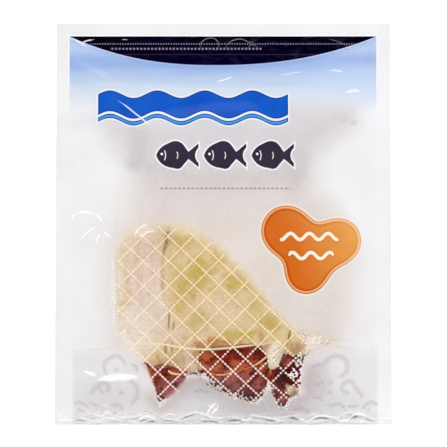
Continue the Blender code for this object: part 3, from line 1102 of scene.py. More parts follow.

# Stains of the squid's skin, seen through the window, as patches. Shade is painted shade, mostly along the
# mantle's lower edge and its creases; the narrow pale patch at (169, 349) is a painted highlight on a
# ridge.
SKIN_STAINS = {
    "yellow": (
        (198, 272, 12, 18, -12, 10, 1.0), (180, 306, 9, 9, 0, 8, 0.75), (234, 282, 13, 12, -20, 9, 0.8),
        (180, 278, 9, 16, 0, 8, 0.7), (268, 321, 12, 8, -20, 6, 0.9), (258, 306, 9, 12, -30, 7, 0.55),
        (218, 256, 24, 14, -34, 11, 0.65), (180, 244, 14, 12, 0, 9, 0.5), (157, 356, 9, 7, 6, 5, 0.5),
        (176, 362, 7, 6, 0, 5, 0.35), (240, 336, 24, 7, 4, 6, 0.85), (200, 318, 12, 16, 0, 9, 0.35),
        (206, 285, 14, 11, 0, 8, 0.4), (226, 268, 9, 8, 0, 7, 0.4), (289, 338, 2.5, 8, 8, 2, 0.9),
    ),
    "pink": (
        (144, 276, 17, 50, 0, 9, 0.9), (150, 322, 22, 30, 0, 9, 0.8), (222, 306, 18, 12, 0, 10, 0.3),
        (212, 328, 12, 8, 0, 7, 0.2), (190, 356, 9, 14, 0, 6, 0.9), (297, 344, 9, 7, 20, 5, 0.5),
        (178, 336, 9, 8, 0, 6, 0.6),
    ),
    "pale": (
        (276, 355, 8, 13, 0, 4, 0.9), (134, 331, 22, 27, 0, 13, 0.9), (120, 290, 5, 60, 0, 6, 0.7),
        (135, 230, 22, 7, -14, 6, 0.55), (158, 292, 8, 24, 0, 8, 0.5), (125, 246, 9, 14, 0, 7, 0.4),
        (169, 349, 1.2, 6, 0, 1.2, 0.9), (216, 302, 10, 8, 0, 8, 0.2), (248, 318, 12, 9, 0, 6, 0.15),
    ),
    "shade": (
        (184, 356, 16, 11, 0, 7, 0.42), (182, 369, 16, 4, 4, 4, 0.6), (204, 326, 14, 12, 0, 9, 0.12),
        (154, 247, 12, 12, 0, 7, 0.17), (168, 364, 20, 5, 4, 4, 0.75), (196, 349, 7, 4, 0, 4, 0.8),
        (296, 350, 9, 5, 10, 4, 0.9), (168, 236, 6, 14, 8, 5, 0.3), (208, 345, 18, 3, 0, 3, 0.5),
        (266, 350, 5, 7, 0, 4, 0.9), (154, 363, 8, 3, 14, 3, 0.3), (200, 362, 3, 9, 24, 4, 0.7),
        (178, 364, 9, 5, 0, 5, 0.4),
    ),
    "amber": (
        (217, 343, 12, 6, 0, 4, 0.9), (200, 346, 9, 6, 8, 5, 0.9), (196, 354, 4, 6, 0, 4, 0.8),
        (260, 338, 6, 5, 0, 4, 0.8), (236, 343, 20, 2.5, 0, 3, 0.5), (193, 298, 6, 4, -20, 4, 0.55),
        (125, 280, 5, 10, 0, 6, 0.25), (297, 346, 7, 5, 20, 4, 0.5),
    ),
}

# The same for the arms, with each stain's darkest and lightest colour
ARM_STAINS = {
    "brown": (
        (204, 356, 9, 9, 0, 5, 0.9), (212, 366, 8, 7, 0, 4, 0.7), (240, 366, 14, 4, -20, 4, 0.9),
        (258, 364, 8, 4, -25, 3, 0.7), (232, 373, 16, 4, 0, 4, 0.9), (262, 368, 6, 5, 0, 3, 0.9),
        (168, 374, 9, 4, 0, 3, 0.8), (180, 372, 7, 4, 0, 3, 0.8), (151, 374, 5, 12, -20, 4, 0.9),
        (164, 366, 12, 3, 4, 3, 0.8), (285, 357, 6, 5, 0, 4, 0.7), (290, 384, 7, 4, -30, 3, 0.6),
        (197, 348, 6, 5, 0, 3, 1.0),
    ),
    "mauve": (
        (233, 383, 9, 9, 0, 4, 0.9), (243, 378, 9, 6, 0, 4, 0.8), (258, 385, 8, 9, 0, 5, 0.6),
        (286, 361, 6, 6, 0, 3, 0.8), (166, 383, 10, 8, 0, 5, 0.9), (168, 390, 9, 7, 0, 4, 0.8),
        (282, 402, 4, 4, 0, 2, 0.9), (179, 379, 7, 5, 0, 4, 0.6), (222, 377, 6, 4, 0, 3, 0.8),
        (258, 372, 5, 4, 0, 3, 0.6),
    ),
    "dark": (
        (286, 377, 12, 11, 0, 4, 1.0), (299, 364, 8, 12, 0, 4, 0.9), (250, 396, 12, 4, 15, 3, 0.5),
        (226, 389, 9, 3, 30, 3, 0.7), (284, 383, 8, 4, -20, 3, 0.9), (264, 374, 3, 4, 0, 3, 0.6),
        (249, 388, 4, 5, 0, 3, 0.4), (162, 370, 10, 2, 4, 2, 0.7), (226, 351, 30, 3, 0, 3, 0.5),
        (258, 352, 6, 6, 0, 4, 0.6), (228, 388, 4, 3, 30, 2, 0.5), (276, 394, 3, 9, -20, 3, 0.7),
        (160, 400, 4, 4, 0, 2, 1.0), (174, 384, 4, 6, 40, 3, 0.5), (217, 360, 4, 4, 0, 4, 0.3),
        (240, 356, 6, 4, 0, 4, 0.5),
    ),
    "pale": (
        (293, 392, 9, 5, -35, 3, 1.0), (199, 366, 4, 7, -10, 3, 0.8), (271, 392, 1.6, 9, -25, 1.6, 0.6),
        (270, 371, 2.4, 2.4, 0, 2, 0.6),
    ),
}
ARM_TONES = {"brown": ((128, 46, 18), (184, 94, 54)), "mauve": ((106, 36, 38), (162, 84, 82)),
             "dark": ((40, 0, 2), (84, 10, 12)), "pale": ((186, 156, 118), (224, 198, 170))}

# Arms: WIDTH is the radius in millimetres at each end of the path and DEPTH how far under the film it lies.
# RIM runs from 0 over 0.5, amber, to 1, cream, along the arm's edges, partly their own translucent colour
# and partly painted highlight; a thin arm has it all over.
Arm = namedtuple("Arm", "path width depth rim")
ARMS = (
    # The upper squid's head and the arms folded under it
    Arm(((192, 351), (206, 358), (226, 360), (246, 357), (262, 351), (272, 344)), (7.4, 6.0), 1.3, 0.0),
    Arm(((200, 352), (208, 359), (214, 366), (224, 370)), (5.6, 3.6), 0.3, 0.25),
    Arm(((222, 346), (230, 356), (237, 365), (243, 371)), (5.4, 3.8), 0.0, 0.1),
    Arm(((262, 344), (257, 354), (249, 362), (240, 367)), (5.2, 3.6), 0.2, 0.15),
    Arm(((206, 370), (211, 373), (217, 374.4)), (0.5, 0.6), 0.0, 0.45),
    Arm(((215, 374.2), (223, 374.4), (229, 373), (234, 369.5)), (0.6, 0.5), 0.0, 0.75),
    Arm(((202, 360), (206, 366), (213, 368.5), (220, 365.5), (222, 361)), (0.5, 0.5), 0.0, 0.45),
    Arm(((236, 372), (246, 368.6), (256, 364.6)), (0.5, 0.65), 0.0, 0.5),
    Arm(((254, 365.6), (261, 361), (267, 356), (268.5, 354)), (0.6, 0.75), 0.0, 0.9),
    Arm(((224, 370), (231, 378), (233, 385), (239, 394)), (7.2, 4.0), 1.0, 0.1),
    Arm(((246, 369), (253, 377), (258, 387), (258, 399)), (6.2, 3.2), 1.0, 0.1),
    Arm(((208, 370), (216, 378), (226, 387)), (3.6, 3.0), 1.8, 0.1),
    Arm(((240, 372), (246, 383), (252, 393)), (4.4, 3.0), 2.0, 0.0),
    Arm(((260, 362), (265, 369), (269, 378)), (4.2, 3.0), 0.9, 0.3),
    # Right cluster
    Arm(((298, 350), (296, 364), (289, 375), (279, 386)), (7.4, 5.0), 0.6, 0.0),
    Arm(((288, 354), (287, 361), (284, 367)), (4.6, 4.0), 0.1, 0.15),
    Arm(((283, 366), (279, 375), (275, 384)), (4.4, 3.4), 0.4, 0.0),
    Arm(((271, 381), (275, 390), (280, 399), (284, 407)), (3.2, 3.4), 0.3, 0.1),
    Arm(((303, 377), (299, 386), (292, 392), (285, 395)), (5.0, 3.2), 0.7, 0.2),
    # Left cluster
    Arm(((144, 358), (150, 372), (156, 386), (160, 402)), (4.6, 3.0), 0.5, 0.1),
    Arm(((190, 368), (178, 377), (170, 386), (163, 399)), (5.6, 3.0), 0.9, 0.1),
    Arm(((146, 362), (158, 368), (172, 371), (190, 373)), (4.4, 3.4), 0.4, 0.05),
    Arm(((168, 370), (172, 373.3), (180, 374)), (0.9, 0.7), 0.0, 1.0),
    Arm(((144.7, 364), (147.5, 374), (152, 384), (155, 392)), (0.9, 0.7), 0.0, 0.75),
    Arm(((156, 370), (163, 380), (167, 391)), (4.8, 3.2), 0.7, 0.1),
)

# A soft line: PATH in the photograph's pixels, WIDTH on each side of it in millimetres
Stroke = namedtuple("Stroke", "path width strength")
# Painted shade along the squid's creases and pleats and beside the edges of its folded margin and mantle
CREASE_SHADES = (
    Stroke(((169.5, 224), (168.5, 232), (167, 240), (165, 250), (163.5, 260)), 2.6, 0.68),
    Stroke(((164, 254), (163, 276), (163.5, 296)), 2.0, 0.25),
    Stroke(((169.2, 310), (169, 321), (168.4, 333)), 1.3, 0.75),
    Stroke(((174.2, 319), (173.6, 326), (172.6, 334)), 1.2, 0.6),
    Stroke(((166, 341), (165.5, 348), (166, 356)), 1.8, 0.7),
    Stroke(((172.4, 340), (172, 346), (171.8, 354)), 1.5, 0.6),
    Stroke(((290, 327), (289.3, 335), (288, 343)), 1.4, 0.8),
    Stroke(((284, 346), (277, 349), (270, 354)), 0.85, 0.4),
    Stroke(((284, 347), (278, 353), (271, 361)), 0.85, 0.45),
    Stroke(((284, 347), (279, 356), (272, 367)), 0.85, 0.45),
    Stroke(((284.5, 348), (281, 357), (276, 366)), 0.85, 0.4),
    Stroke(((181, 354), (184, 360), (184, 367)), 1.5, 0.3),
    Stroke(((190, 356), (195, 362), (199, 369)), 1.5, 0.35),
    Stroke(((155, 352), (159, 360), (162, 366)), 1.5, 0.3),
    Stroke(((142, 226), (138, 250), (139, 280), (142, 312)), 3.0, 0.12),
    Stroke(((154, 236), (152, 262), (156, 292)), 3.0, 0.12),
)


def along_path(path, shares):
    """Points at these shares of an eased path's length, in millimetres."""
    line_x, line_y = eased_path(path)
    run = np.concatenate([[0.0], np.cumsum(np.hypot(np.diff(line_x), np.diff(line_y)))])
    return np.stack([np.interp(shares * run[-1], run, line) for line in (line_x, line_y)], axis=-1)


def path_length(path):
    return np.hypot(*np.diff(eased_path(path))).sum()


def drawn_between(sheet, pitch):
    """A grid of points stretched between a sheet's four edges (a Coons patch), in millimetres."""
    u = np.linspace(0, 1, round(max(path_length(sheet.bottom), path_length(sheet.top)) / pitch))
    v = np.linspace(0, 1, round(max(path_length(sheet.left), path_length(sheet.right)) / pitch))
    west, east = along_path(sheet.left, v)[:, None], along_path(sheet.right, v)[:, None]
    south, north = along_path(sheet.bottom, u)[None], along_path(sheet.top, u)[None]
    u, v = u[None, :, None], v[:, None, None]
    corners = ((1 - u) * (1 - v) * south[:, :1] + u * (1 - v) * south[:, -1:]
               + (1 - u) * v * north[:, :1] + u * v * north[:, -1:])
    grid = (1 - u) * west + u * east + (1 - v) * south + v * north - corners
    return grid[..., 0], grid[..., 1]


def from_rim(x, y):
    """How far each grid point is from the grid's rim, measured along its own row and column."""
    rims = (np.s_[:, :1], np.s_[:, -1:], np.s_[:1], np.s_[-1:])
    return np.minimum.reduce([np.hypot(x - x[rim], y - y[rim]) for rim in rims])


def outline(sheet):
    """A sheet's closed outline, as pixels."""
    sides = [sheet.bottom, sheet.right, sheet.top[::-1], sheet.left[::-1]]
    return [point for side in sides for point in side[:-1]]


def under_film(x, y):
    """The highest that the squid may reach."""
    return taut_height(x, y) - FILM - CLEARANCE


def build_sheet(name, sheet, depth, material, pitch, roughness=0.35, rounding=0.45):
    """A sheet of squid with a rounded rim, DEPTH below the film."""
    x, y = drawn_between(sheet, pitch)
    rim = smooth(from_rim(x, y) / (1.3 * sheet.thickness))
    uneven = roughness * (crinkle(x, y, 7.0, 1.7) + 0.6 * crinkle(x, y, 3.1, 9.2))
    top = under_film(x, y) - depth(x, y) - uneven - rounding * sheet.thickness * (1 - rim)
    lowest = back_height(x, y) + FILM
    top = np.maximum(top, lowest + 0.5)
    bottom = np.maximum(top - sheet.thickness * (0.12 + 0.88 * rim), lowest)
    return slab(name, x, y, top, bottom, [material]), x, y


def stained(wiring, stain, tear, low, high):
    """How strong a stain of the squid is: its patches, with their edges torn."""
    torn = wiring.effect(EFFECTS["stain"], Stain=wiring.noted(stain), Tear=tear, Low=low, High=high)
    return torn["Share"]


def squid_skin_material():
    """Dried mantle: pale tan flesh with fine cross fibres, yellow and amber stains, and painted shade
    in its creases and along its lower edge.
    """
    material, wiring, shader = new_material("dried_squid_skin")
    mottle = wiring.noise(0.22, 4.0, 0.6)
    fibres = wiring.noise(0.8, 3.0, 0.6, (0.4, 1.0, 1.0), (2, 7, 0))
    cloud = wiring.noise(0.06, shift=(9, 3, 0))
    tear = (wiring.noise(0.11, 4.0, 0.65, shift=(3, 3, 3)) - 0.5) * 2.4
    colour = wiring.coats(
        wiring.mix(cloud.ease(0.35, 0.65), flesh(220, 192, 140), flesh(230, 205, 158)),
        (wiring.noted("pink") * 0.9, flesh(236, 214, 204)),
        (stained(wiring, "yellow", tear, 0.1, 1.1) * 0.95, flesh(202, 172, 62)),
        (stained(wiring, "amber", tear, 0.15, 0.9), flesh(190, 114, 16)),
        # Painted shade along the mantle's lower edge and in its creases
        (wiring.noted("shade"), flesh(172, 128, 86)),
        (stained(wiring, "pale", tear * 0.5, 0.0, 1.0), flesh(241, 228, 214)),
        (mottle.ease(0.52, 0.75) * 0.5, flesh(238, 224, 200)),
        (mottle.ease(0.46, 0.28) * 0.4, flesh(196, 166, 110)),
        (fibres.ease(0.6, 0.38) * 0.25, flesh(192, 162, 116)))
    wiring.feed(shader, {"Base Color": colour, "Roughness": mottle.ease(0.3, 0.7, 0.5, 0.72),
                         "Normal": wiring.bump(fibres * 0.5 + mottle, 0.7, 0.0005)})
    return material


def arm_material():
    """Dried arms: dark red, glossy and a little translucent, with amber edges that are partly their own
    colour and partly painted highlight.
    """
    material, wiring, shader = new_material("dried_squid_arms")
    mottle = wiring.noise(0.2, 3.0, 0.6)
    blotch = wiring.noise(0.12, shift=(4, 4, 1))
    tear = (mottle - 0.5) * 1.6
    tone = mottle.ease(0.32, 0.62)
    rim = wiring.noted("rim")
    stains = [(stained(wiring, stain, tear, 0.2, 0.8), wiring.mix(tone, flesh(*low), flesh(*high)))
              for stain, (low, high) in ARM_TONES.items()]
    colour = wiring.coats(
        wiring.mix(tone, flesh(78, 2, 2), flesh(146, 30, 20)),
        (blotch.ease(0.5, 0.7) * 0.4, flesh(176, 66, 30)),
        *stains,
        (stained(wiring, "border", tear, 0.2, 0.9) * 0.55, flesh(38, 4, 6)),
        # Rim: partly the arm's own amber edge, partly painted highlight
        (rim.ease(0.0, 0.45), flesh(196, 104, 48)),
        (rim.ease(0.45, 1.0), flesh(248, 206, 152)))
    wiring.feed(shader, {"Base Color": colour, "Roughness": mottle.ease(0.3, 0.7, 0.32, 0.5),
                         "Specular IOR Level": 0.08, "Normal": wiring.bump(mottle, 0.8, 0.0008)})
    return material


def arm_mesh(arm, cover, sides=16, pitch=0.9):
    """A tapered arm with round ends, pressed under the film and what COVERs it: points, faces, rim."""
    run = path_length(arm.path)
    share = np.linspace(0, 1, max(8, round(run / pitch)))
    line = along_path(arm.path, share)
    heading = np.gradient(line, axis=0)
    heading /= np.hypot(heading[:, 0], heading[:, 1])[:, None]
    radius = arm.width[0] + (arm.width[1] - arm.width[0]) * share
    ends = np.minimum(share, 1 - share) * run
    radius = radius * np.sqrt(1 - (1 - np.clip(ends / radius, 0, 1)) ** 2) + 0.02
    ceiling = under_film(line[:, 0], line[:, 1]) - arm.depth
    half = np.minimum(radius, (ceiling - 0.6) / 2)
    turn = np.linspace(0, math.tau, sides, endpoint=False)
    x = line[:, :1] - heading[:, 1:] * radius[:, None] * np.cos(turn)
    y = line[:, 1:] + heading[:, :1] * radius[:, None] * np.cos(turn)
    z = (ceiling - half)[:, None] + half[:, None] * np.sin(turn)
    z = np.minimum(z, under_film(x, y) - cover(x, y))
    rows = np.arange(len(share) * sides).reshape(-1, sides)
    after = np.roll(rows, -1, axis=1)
    faces = np.stack([rows[:-1], after[:-1], after[1:], rows[1:]], axis=-1).reshape(-1, 4).tolist()
    faces += [rows[0][::-1].tolist(), rows[-1].tolist()]
    # The rim lies on the upper flanks: partly the arm's own amber edge, partly painted highlight
    edge = np.exp(-((np.abs(np.cos(turn)) - 0.85) / 0.16) ** 2) * (np.sin(turn) > 0)
    rim = arm.rim * np.broadcast_to(np.ones(sides) if max(arm.width) < 2 else edge, z.shape)
    return np.dstack([x, y, z]).reshape(-1, 3), faces, rim.ravel()


def note_arm_skin(piece, x, y):
    """The arms' stains, and how near the window's lower edge is, where they look darker."""
    note(piece, patch_shares(ARM_STAINS, x, y))
    note(piece, {"border": smooth(1.2 - window_inside(x, y) / 4.5) * smooth((x - column(180)) / 12)})


def build_arms(material, cover):
    points, faces, rims = [], [], []
    for arm in ARMS:
        own_points, own_faces, rim = arm_mesh(arm, cover)
        faces += [[len(points) + index for index in corners] for corners in own_faces]
        points.extend(own_points)
        rims.extend(rim)
    piece = shown("squid_arms", points, faces, [material])
    note(piece, {"rim": rims})
    note_arm_skin(piece, *np.array(points)[:, :2].T)


def surface_tree(pieces):
    """The faces of some pieces, for laying decals on them."""
    points, faces = [], []
    for piece in pieces:
        start = len(points)
        points += [point.co for point in piece.data.vertices]
        faces += [[start + index for index in corner.vertices] for corner in piece.data.polygons]
    return BVHTree.FromPolygons(points, faces)


def build_squid():
    skin, arm_skin = squid_skin_material(), arm_material()
    flap, mantle = outline(FOLDED_MARGIN), outline(UPPER_MANTLE)

    def under_nothing(x, y):
        return np.zeros(x.shape)

    def under_flap(x, y):
        return (FOLDED_MARGIN.thickness + 0.1) * share_inside(flap, x, y, 3.0) ** 2.5

    def under_mantle(x, y):
        return under_flap(x, y) + (UPPER_MANTLE.thickness + 0.5) * share_inside(mantle, x, y, 1.2) + 0.2

    def over_bed(x, y):
        return 2.4 + 0.9 * under_mantle(x, y)

    def over_arms(x, y):
        return (UPPER_MANTLE.thickness + 0.4) * share_inside(mantle, x, y, 0.7)

    sheets = (("squid_mantle", UPPER_MANTLE, under_flap, 1.2, 0.45),
              ("squid_folded_margin", FOLDED_MARGIN, under_nothing, 1.2, 0.15),
              ("squid_lower_mantle", LOWER_MANTLE, under_mantle, 1.8, 0.45),
              ("squid_fins", FINS, under_mantle, 1.8, 0.45))
    skins = []
    for name, sheet, depth, pitch, rounding in sheets:
        piece, x, y = build_sheet(name, sheet, depth, skin, pitch, rounding=rounding)
        note(piece, patch_shares(SKIN_STAINS, x, y))
        skins.append(piece)
    bed, x, y = build_sheet("squid_arm_bed", ARM_BED, over_bed, arm_skin, 1.2, roughness=1.2)
    note_arm_skin(bed, x, y)
    build_arms(arm_skin, over_arms)
    shade = ink_material("seam_shade", flesh(134, 102, 48), 0.85, 0.3)
    draw_strokes(surface_tree(skins), "squid_crease_shade", CREASE_SHADES, shade, pitch=1.0, thin=0.4, lift=0.05)


# The lattice printed over the window, in the photograph's pixels: one node, and the half steps to the next
# node on the right and to the next one below, each with its drift the other way
LATTICE_NODE = (168.2, 236.2)
LATTICE_RIGHT = (12.55, -0.16)
LATTICE_DOWN = (0.19, 12.33)
LATTICE_HALF_STEPS = 18
LATTICE_ROWS = range(-9, 16)
LATTICE_DOTS = 5
LATTICE_DOT = 0.60
LATTICE_LINE = 0.45
LATTICE_LIFT = 0.07


def ends_taper(share, over=0.3):
    """1 along a line, easing to 0 at both its ends."""
    return smooth(np.minimum(share, 1 - share) / over)


class Decal:
    """Flat shapes of ink that follow a surface: collected in plan, then laid on it."""

    def __init__(self, tree):
        self.tree = tree
        self.points, self.faces, self.strength = [], [], []

    def disc(self, centre, radius, sides=7, rim=1.0):
        """A round dot, with RIM of its strength at its rim."""
        start = len(self.points)
        turn = np.arange(sides) * math.tau / sides
        self.points.append(tuple(centre))
        self.points += zip(centre[0] + radius * np.cos(turn), centre[1] + radius * np.sin(turn))
        self.strength += [1.0] + [rim] * sides
        self.faces += [(start, start + 1 + index, start + 1 + (index + 1) % sides)
                       for index in range(sides)]

    def ribbon(self, line, half_width, strength, rim=1.0):
        """A band along points in plan: a HALF_WIDTH and STRENGTH for each, and RIM of that at the edges."""
        heading = np.gradient(line, axis=0)
        heading /= np.maximum(np.hypot(heading[:, 0], heading[:, 1]), 1e-9)[:, None]
        side = np.stack([-heading[:, 1], heading[:, 0]], axis=1) * np.reshape(half_width, (-1, 1))
        start, count = len(self.points), len(line)
        self.points += [*map(tuple, line + side), *map(tuple, line), *map(tuple, line - side)]
        self.strength += [*(strength * rim), *strength, *(strength * rim)]
        for index in range(start, start + 2 * count):
            if (index - start) % count < count - 1:
                self.faces.append((index, index + count, index + count + 1, index + 1))

    def laid(self, name, material, lift):
        """Makes the piece, each point just above the surface under it."""
        points = []
        for x, y in self.points:
            hit = self.tree.ray_cast(Vector((x * MM, y * MM, 0.1)), Vector((0, 0, -1)))[0]
            points.append((x, y, (hit.z / MM if hit else 0.0) + lift))
        piece = shown(name, points, self.faces, [material])
        note(piece, {"strength": self.strength})
        piece.visible_shadow = False


def draw_strokes(tree, name, strokes, material, pitch, thin, faint=0.0, fewest=6, lift=0.09):
    """Soft lines on a surface. THIN and FAINT are the shares of width and strength left at their ends."""
    decal = Decal(tree)
    for path, width, strength in strokes:
        share = np.linspace(0, 1, max(fewest, round(path_length(path) / pitch)))
        taper = ends_taper(share)
        decal.ribbon(along_path(path, share), width * (thin + (1 - thin) * taper),
                     strength * (faint + (1 - faint) * taper), rim=0.0)
    decal.laid(name, material, lift)


def ink_material(name, colour, cover, wear):
    """Printed ink. COLOUR may be a function that wires it."""
    material, wiring, shader = new_material(name)
    colour = colour(wiring) if callable(colour) else colour
    inked = wiring.effect(EFFECTS["ink"], Colour=colour, Cover=cover, Wear=wear,
                          Strength=wiring.noted("strength"))
    wiring.feed(shader, {"Base Color": inked["Colour"], "Alpha": inked["Alpha"], "Roughness": 0.4})
    return material


def window_inside(x, y):
    """How far inside the clear window each point is, in millimetres, as the film's own print has it."""
    across, down = x / PIXEL + MIDDLE_PIXEL[0], MIDDLE_PIXEL[1] - y / PIXEL
    lower = np.interp(across, *zip(*WINDOW_LOWER))
    upper = np.interp(across, *zip(*WINDOW_UPPER))
    sloping = WINDOW_SLANT * np.minimum(down - upper, lower - down)
    return PIXEL * np.minimum(sloping, across - WINDOW_LEFT)


# Cloud scrolls printed below the window: paths and dots in the photograph's pixels, widths in millimetres
Scroll = namedtuple("Scroll", "path width")
SCROLLS = (
    Scroll(((110, 376), (105, 372), (104, 366), (108, 359), (115, 356), (121, 358), (125, 364), (126, 368)),
           1.5),
    Scroll(((88, 396), (93, 391), (97, 386), (102, 383), (107, 384), (109, 388), (106, 391), (103, 391)),
           2.0),
    Scroll(((98, 387), (101, 391), (103, 395)), 1.4),
    Scroll(((127, 383), (132, 382), (136, 386), (137, 393), (135, 400), (129, 406)), 2.2),
    Scroll(((72.5, 404), (79, 403), (85, 405), (88, 409)), 1.6),
    Scroll(((89, 401), (92, 404), (97, 406), (103, 406)), 1.3),
    Scroll(((108, 406), (115, 405), (121, 407), (123, 412)), 1.5),
    Scroll(((131, 364), (136, 367), (137, 372)), 1.4),
    Scroll(((311, 372), (313, 367), (318, 365), (324, 364), (327, 360), (332, 357), (338, 356), (343, 358),
            (347, 363), (347, 370), (343, 375), (338, 377), (334, 376)), 2.0),
    Scroll(((349, 394), (343, 391), (342, 386), (347, 382), (352, 382), (355, 387), (358, 391), (362, 396),
            (362, 401)), 1.9),
    Scroll(((328, 406), (335, 405), (341, 405), (345, 409), (345, 413)), 1.5),
    Scroll(((347, 406), (353, 407), (360, 405)), 1.4),
    Scroll(((362, 411), (366, 405), (372, 403), (377, 405), (377, 408)), 1.7),
    Scroll(((293, 412), (299, 409.5), (305, 410), (310, 414)), 1.8),
    Scroll(((193, 392), (201, 390.5), (210, 393)), 1.3),
    Scroll(((312, 399), (318, 398), (324, 402)), 1.2),
)
SCROLL_SPREAD = 1.55
SCROLL_DOTS = ((116.5, 370, 2.1), (121, 393, 1.9), (79, 411, 1.7), (115, 413, 1.5), (330.5, 382.5, 1.9),
               (330.5, 392.5, 1.9), (322, 382.5, 1.5), (348, 393, 1.5), (369, 410.5, 1.8),
               (317.5, 385, 1.6))
SCROLL_DOT_SPREAD = 1.5


def build_scrolls(tree):
    decal = Decal(tree)
    for scroll in SCROLLS:
        share = np.linspace(0, 1, max(6, round(path_length(scroll.path) / 0.7)))
        swell = 0.45 + 0.55 * np.sqrt(np.sin(math.pi * np.clip(share, 0.02, 0.98)))
        decal.ribbon(along_path(scroll.path, share), SCROLL_SPREAD * scroll.width * swell,
                     ends_taper(share, 0.12), rim=0.0)
    for across, down, radius in SCROLL_DOTS:
        decal.disc(face(across, down), SCROLL_DOT_SPREAD * radius, 14, rim=0.0)
    decal.laid("cloud_print", ink_material("grey_ink", ink(166, 161, 170), 0.36, 0.6), 0.06)


# Marks along the folded bottom edge: painted highlights on the crests and painted shade in the hollows
# beside them
CREST_HIGHLIGHTS = (
    Stroke(((135, 421.7), (146.7, 416), (158, 420.8)), 0.9, 0.9),
    Stroke(((180, 419.5), (189, 415), (197, 413), (208, 416), (220, 419)), 1.0, 0.9),
    Stroke(((224, 419.8), (235, 418), (247, 420.8), (252, 416), (260, 417), (267, 418), (281, 421),
            (296, 421.7)), 0.9, 1.0),
    Stroke(((286, 416), (300, 419), (307, 421.7), (318, 416.6), (333, 417.4), (345, 421.7), (356, 414.2),
            (364, 415.1), (373, 418.9), (392, 420.8)), 0.9, 1.0),
    Stroke(((86, 416), (93, 413.5), (100, 417), (108, 412), (116, 415)), 0.8, 0.55),
    Stroke(((100, 420), (110, 418), (122, 420.5)), 0.8, 0.6),
    Stroke(((160, 417), (170, 414.5), (178, 417)), 0.8, 0.6),
    Stroke(((96, 408), (104, 404.5), (112, 409)), 0.7, 0.4),
)
HOLLOW_SHADES = (
    Stroke(((137, 423), (146, 420.6), (158, 423.2)), 1.3, 0.75),
    Stroke(((180, 420), (188, 416.6), (197, 413.6)), 0.9, 0.6),
    Stroke(((199, 423), (209, 421.4), (220, 423)), 1.2, 0.7),
    Stroke(((72, 421.5), (80, 421), (88, 423.2)), 1.0, 0.5),
    Stroke(((224, 422), (236, 420.8), (247, 423)), 1.4, 0.8),
    Stroke(((262, 419), (270, 420.6), (279, 422.6)), 1.2, 0.75),
    Stroke(((288, 417), (294, 418.6), (301, 421)), 1.1, 0.7),
    Stroke(((311, 420.6), (321, 418.2), (332, 420)), 1.1, 0.7),
    Stroke(((348, 420), (354, 417.4), (360, 416.8)), 1.1, 0.75),
    Stroke(((140, 414), (147, 411.6), (154, 414.5)), 0.8, 0.45),
    Stroke(((160, 422.6), (170, 421.4), (178, 423)), 1.0, 0.4),
    Stroke(((247, 417), (257, 417.6), (267, 419.4)), 0.7, 0.4),
    Stroke(((104, 422.6), (113, 421.4), (122, 423)), 0.9, 0.35),
    Stroke(((364, 419), (371, 421), (377, 421.6)), 0.8, 0.4),
)


def build_film_marks(tree):
    """Pale lines along hard creases, partly the film's whitening and partly painted highlight, and the
    hem's painted shade and highlights.
    """
    for name, colour, creases in (("film_whitening_and_highlights", (0.97, 0.97, 0.97), CREASES[1:]),
                                  ("gusset_whitening_and_highlight", ink(255, 236, 190), CREASES[:1])):
        strokes = [Stroke(crease.path, crease.width, crease.white) for crease in creases]
        white = ink_material(name, colour, 1.0, 0.12)
        draw_strokes(tree, name, strokes, white, pitch=0.8, thin=0.4, faint=0.3)
    for name, colour, strokes, lift in (("hem_hollow_shade", ink(98, 97, 108), HOLLOW_SHADES, 0.06),
                                        ("hem_crest_highlights", ink(254, 254, 255), CREST_HIGHLIGHTS, 0.09)):
        worn = ink_material(name, colour, 1.0, 0.5)
        draw_strokes(tree, name, strokes, worn, pitch=0.7, thin=0.3, fewest=8, lift=lift)


def lattice_ink(wiring):
    """Cream over the tan skin, pinker at its left and over the arms."""
    x, y = wiring.place()
    skin = wiring.mix(x.ease(column(150), column(190)), ink(255, 238, 220), ink(255, 237, 200))
    return wiring.mix(y.ease(level(346), level(366)), skin, ink(255, 232, 220))


def lattice_line(slant, row, steps):
    """Points along one line of the lattice, in the photograph's pixels."""
    return [node + right * (2 * row + steps) + low * slant * steps
            for node, right, low in zip(LATTICE_NODE, LATTICE_RIGHT, LATTICE_DOWN)]


def build_lattice(tree):
    decal = Decal(tree)
    reach = LATTICE_HALF_STEPS * LATTICE_DOTS
    steps = np.arange(-reach, reach + 1) / LATTICE_DOTS
    for slant, row in ((slant, row) for slant in (1, -1) for row in LATTICE_ROWS):
        across, down = lattice_line(slant, row, steps)
        x, y = face(across, down)
        inside = window_inside(x, y)
        over_arms = smooth((down - 345) / 8)
        beaded = np.maximum(over_arms, smooth((across - 256) / 8) * (slant > 0))
        margin = 0.4 - 3.0 * beaded
        # Over the arms the lines that fall to the left, and all of them at the right, part into beads
        parted = (0.12 if slant > 0 else 0.5) * smooth((across - 190) / 12)
        parted += (0.6 - parted) * smooth((across - 272) / 8)
        strength = (0.80 + beaded * (0.08 - parted)) * smooth((inside - margin) / 2.4)
        strength *= 0.86 + 0.14 * smooth((across - 140) / 30)
        for run in np.split(np.arange(len(x)), np.flatnonzero(np.diff(inside > margin)) + 1):
            if len(run) < 3 or inside[run[0]] <= margin[run[0]]:
                continue
            line = np.stack([x[run], y[run]], axis=1)
            decal.ribbon(line, LATTICE_LINE * (1 - 0.2 * over_arms[run]), strength[run])
            for index in run:
                if inside[index] > margin[index] + 0.8 and (slant > 0 or index % LATTICE_DOTS):
                    decal.disc((x[index], y[index]), LATTICE_DOT * (1 + 0.4 * beaded[index]))
    decal.laid("lattice_print", ink_material("white_ink", lattice_ink, 0.94, 0.15), LATTICE_LIFT)


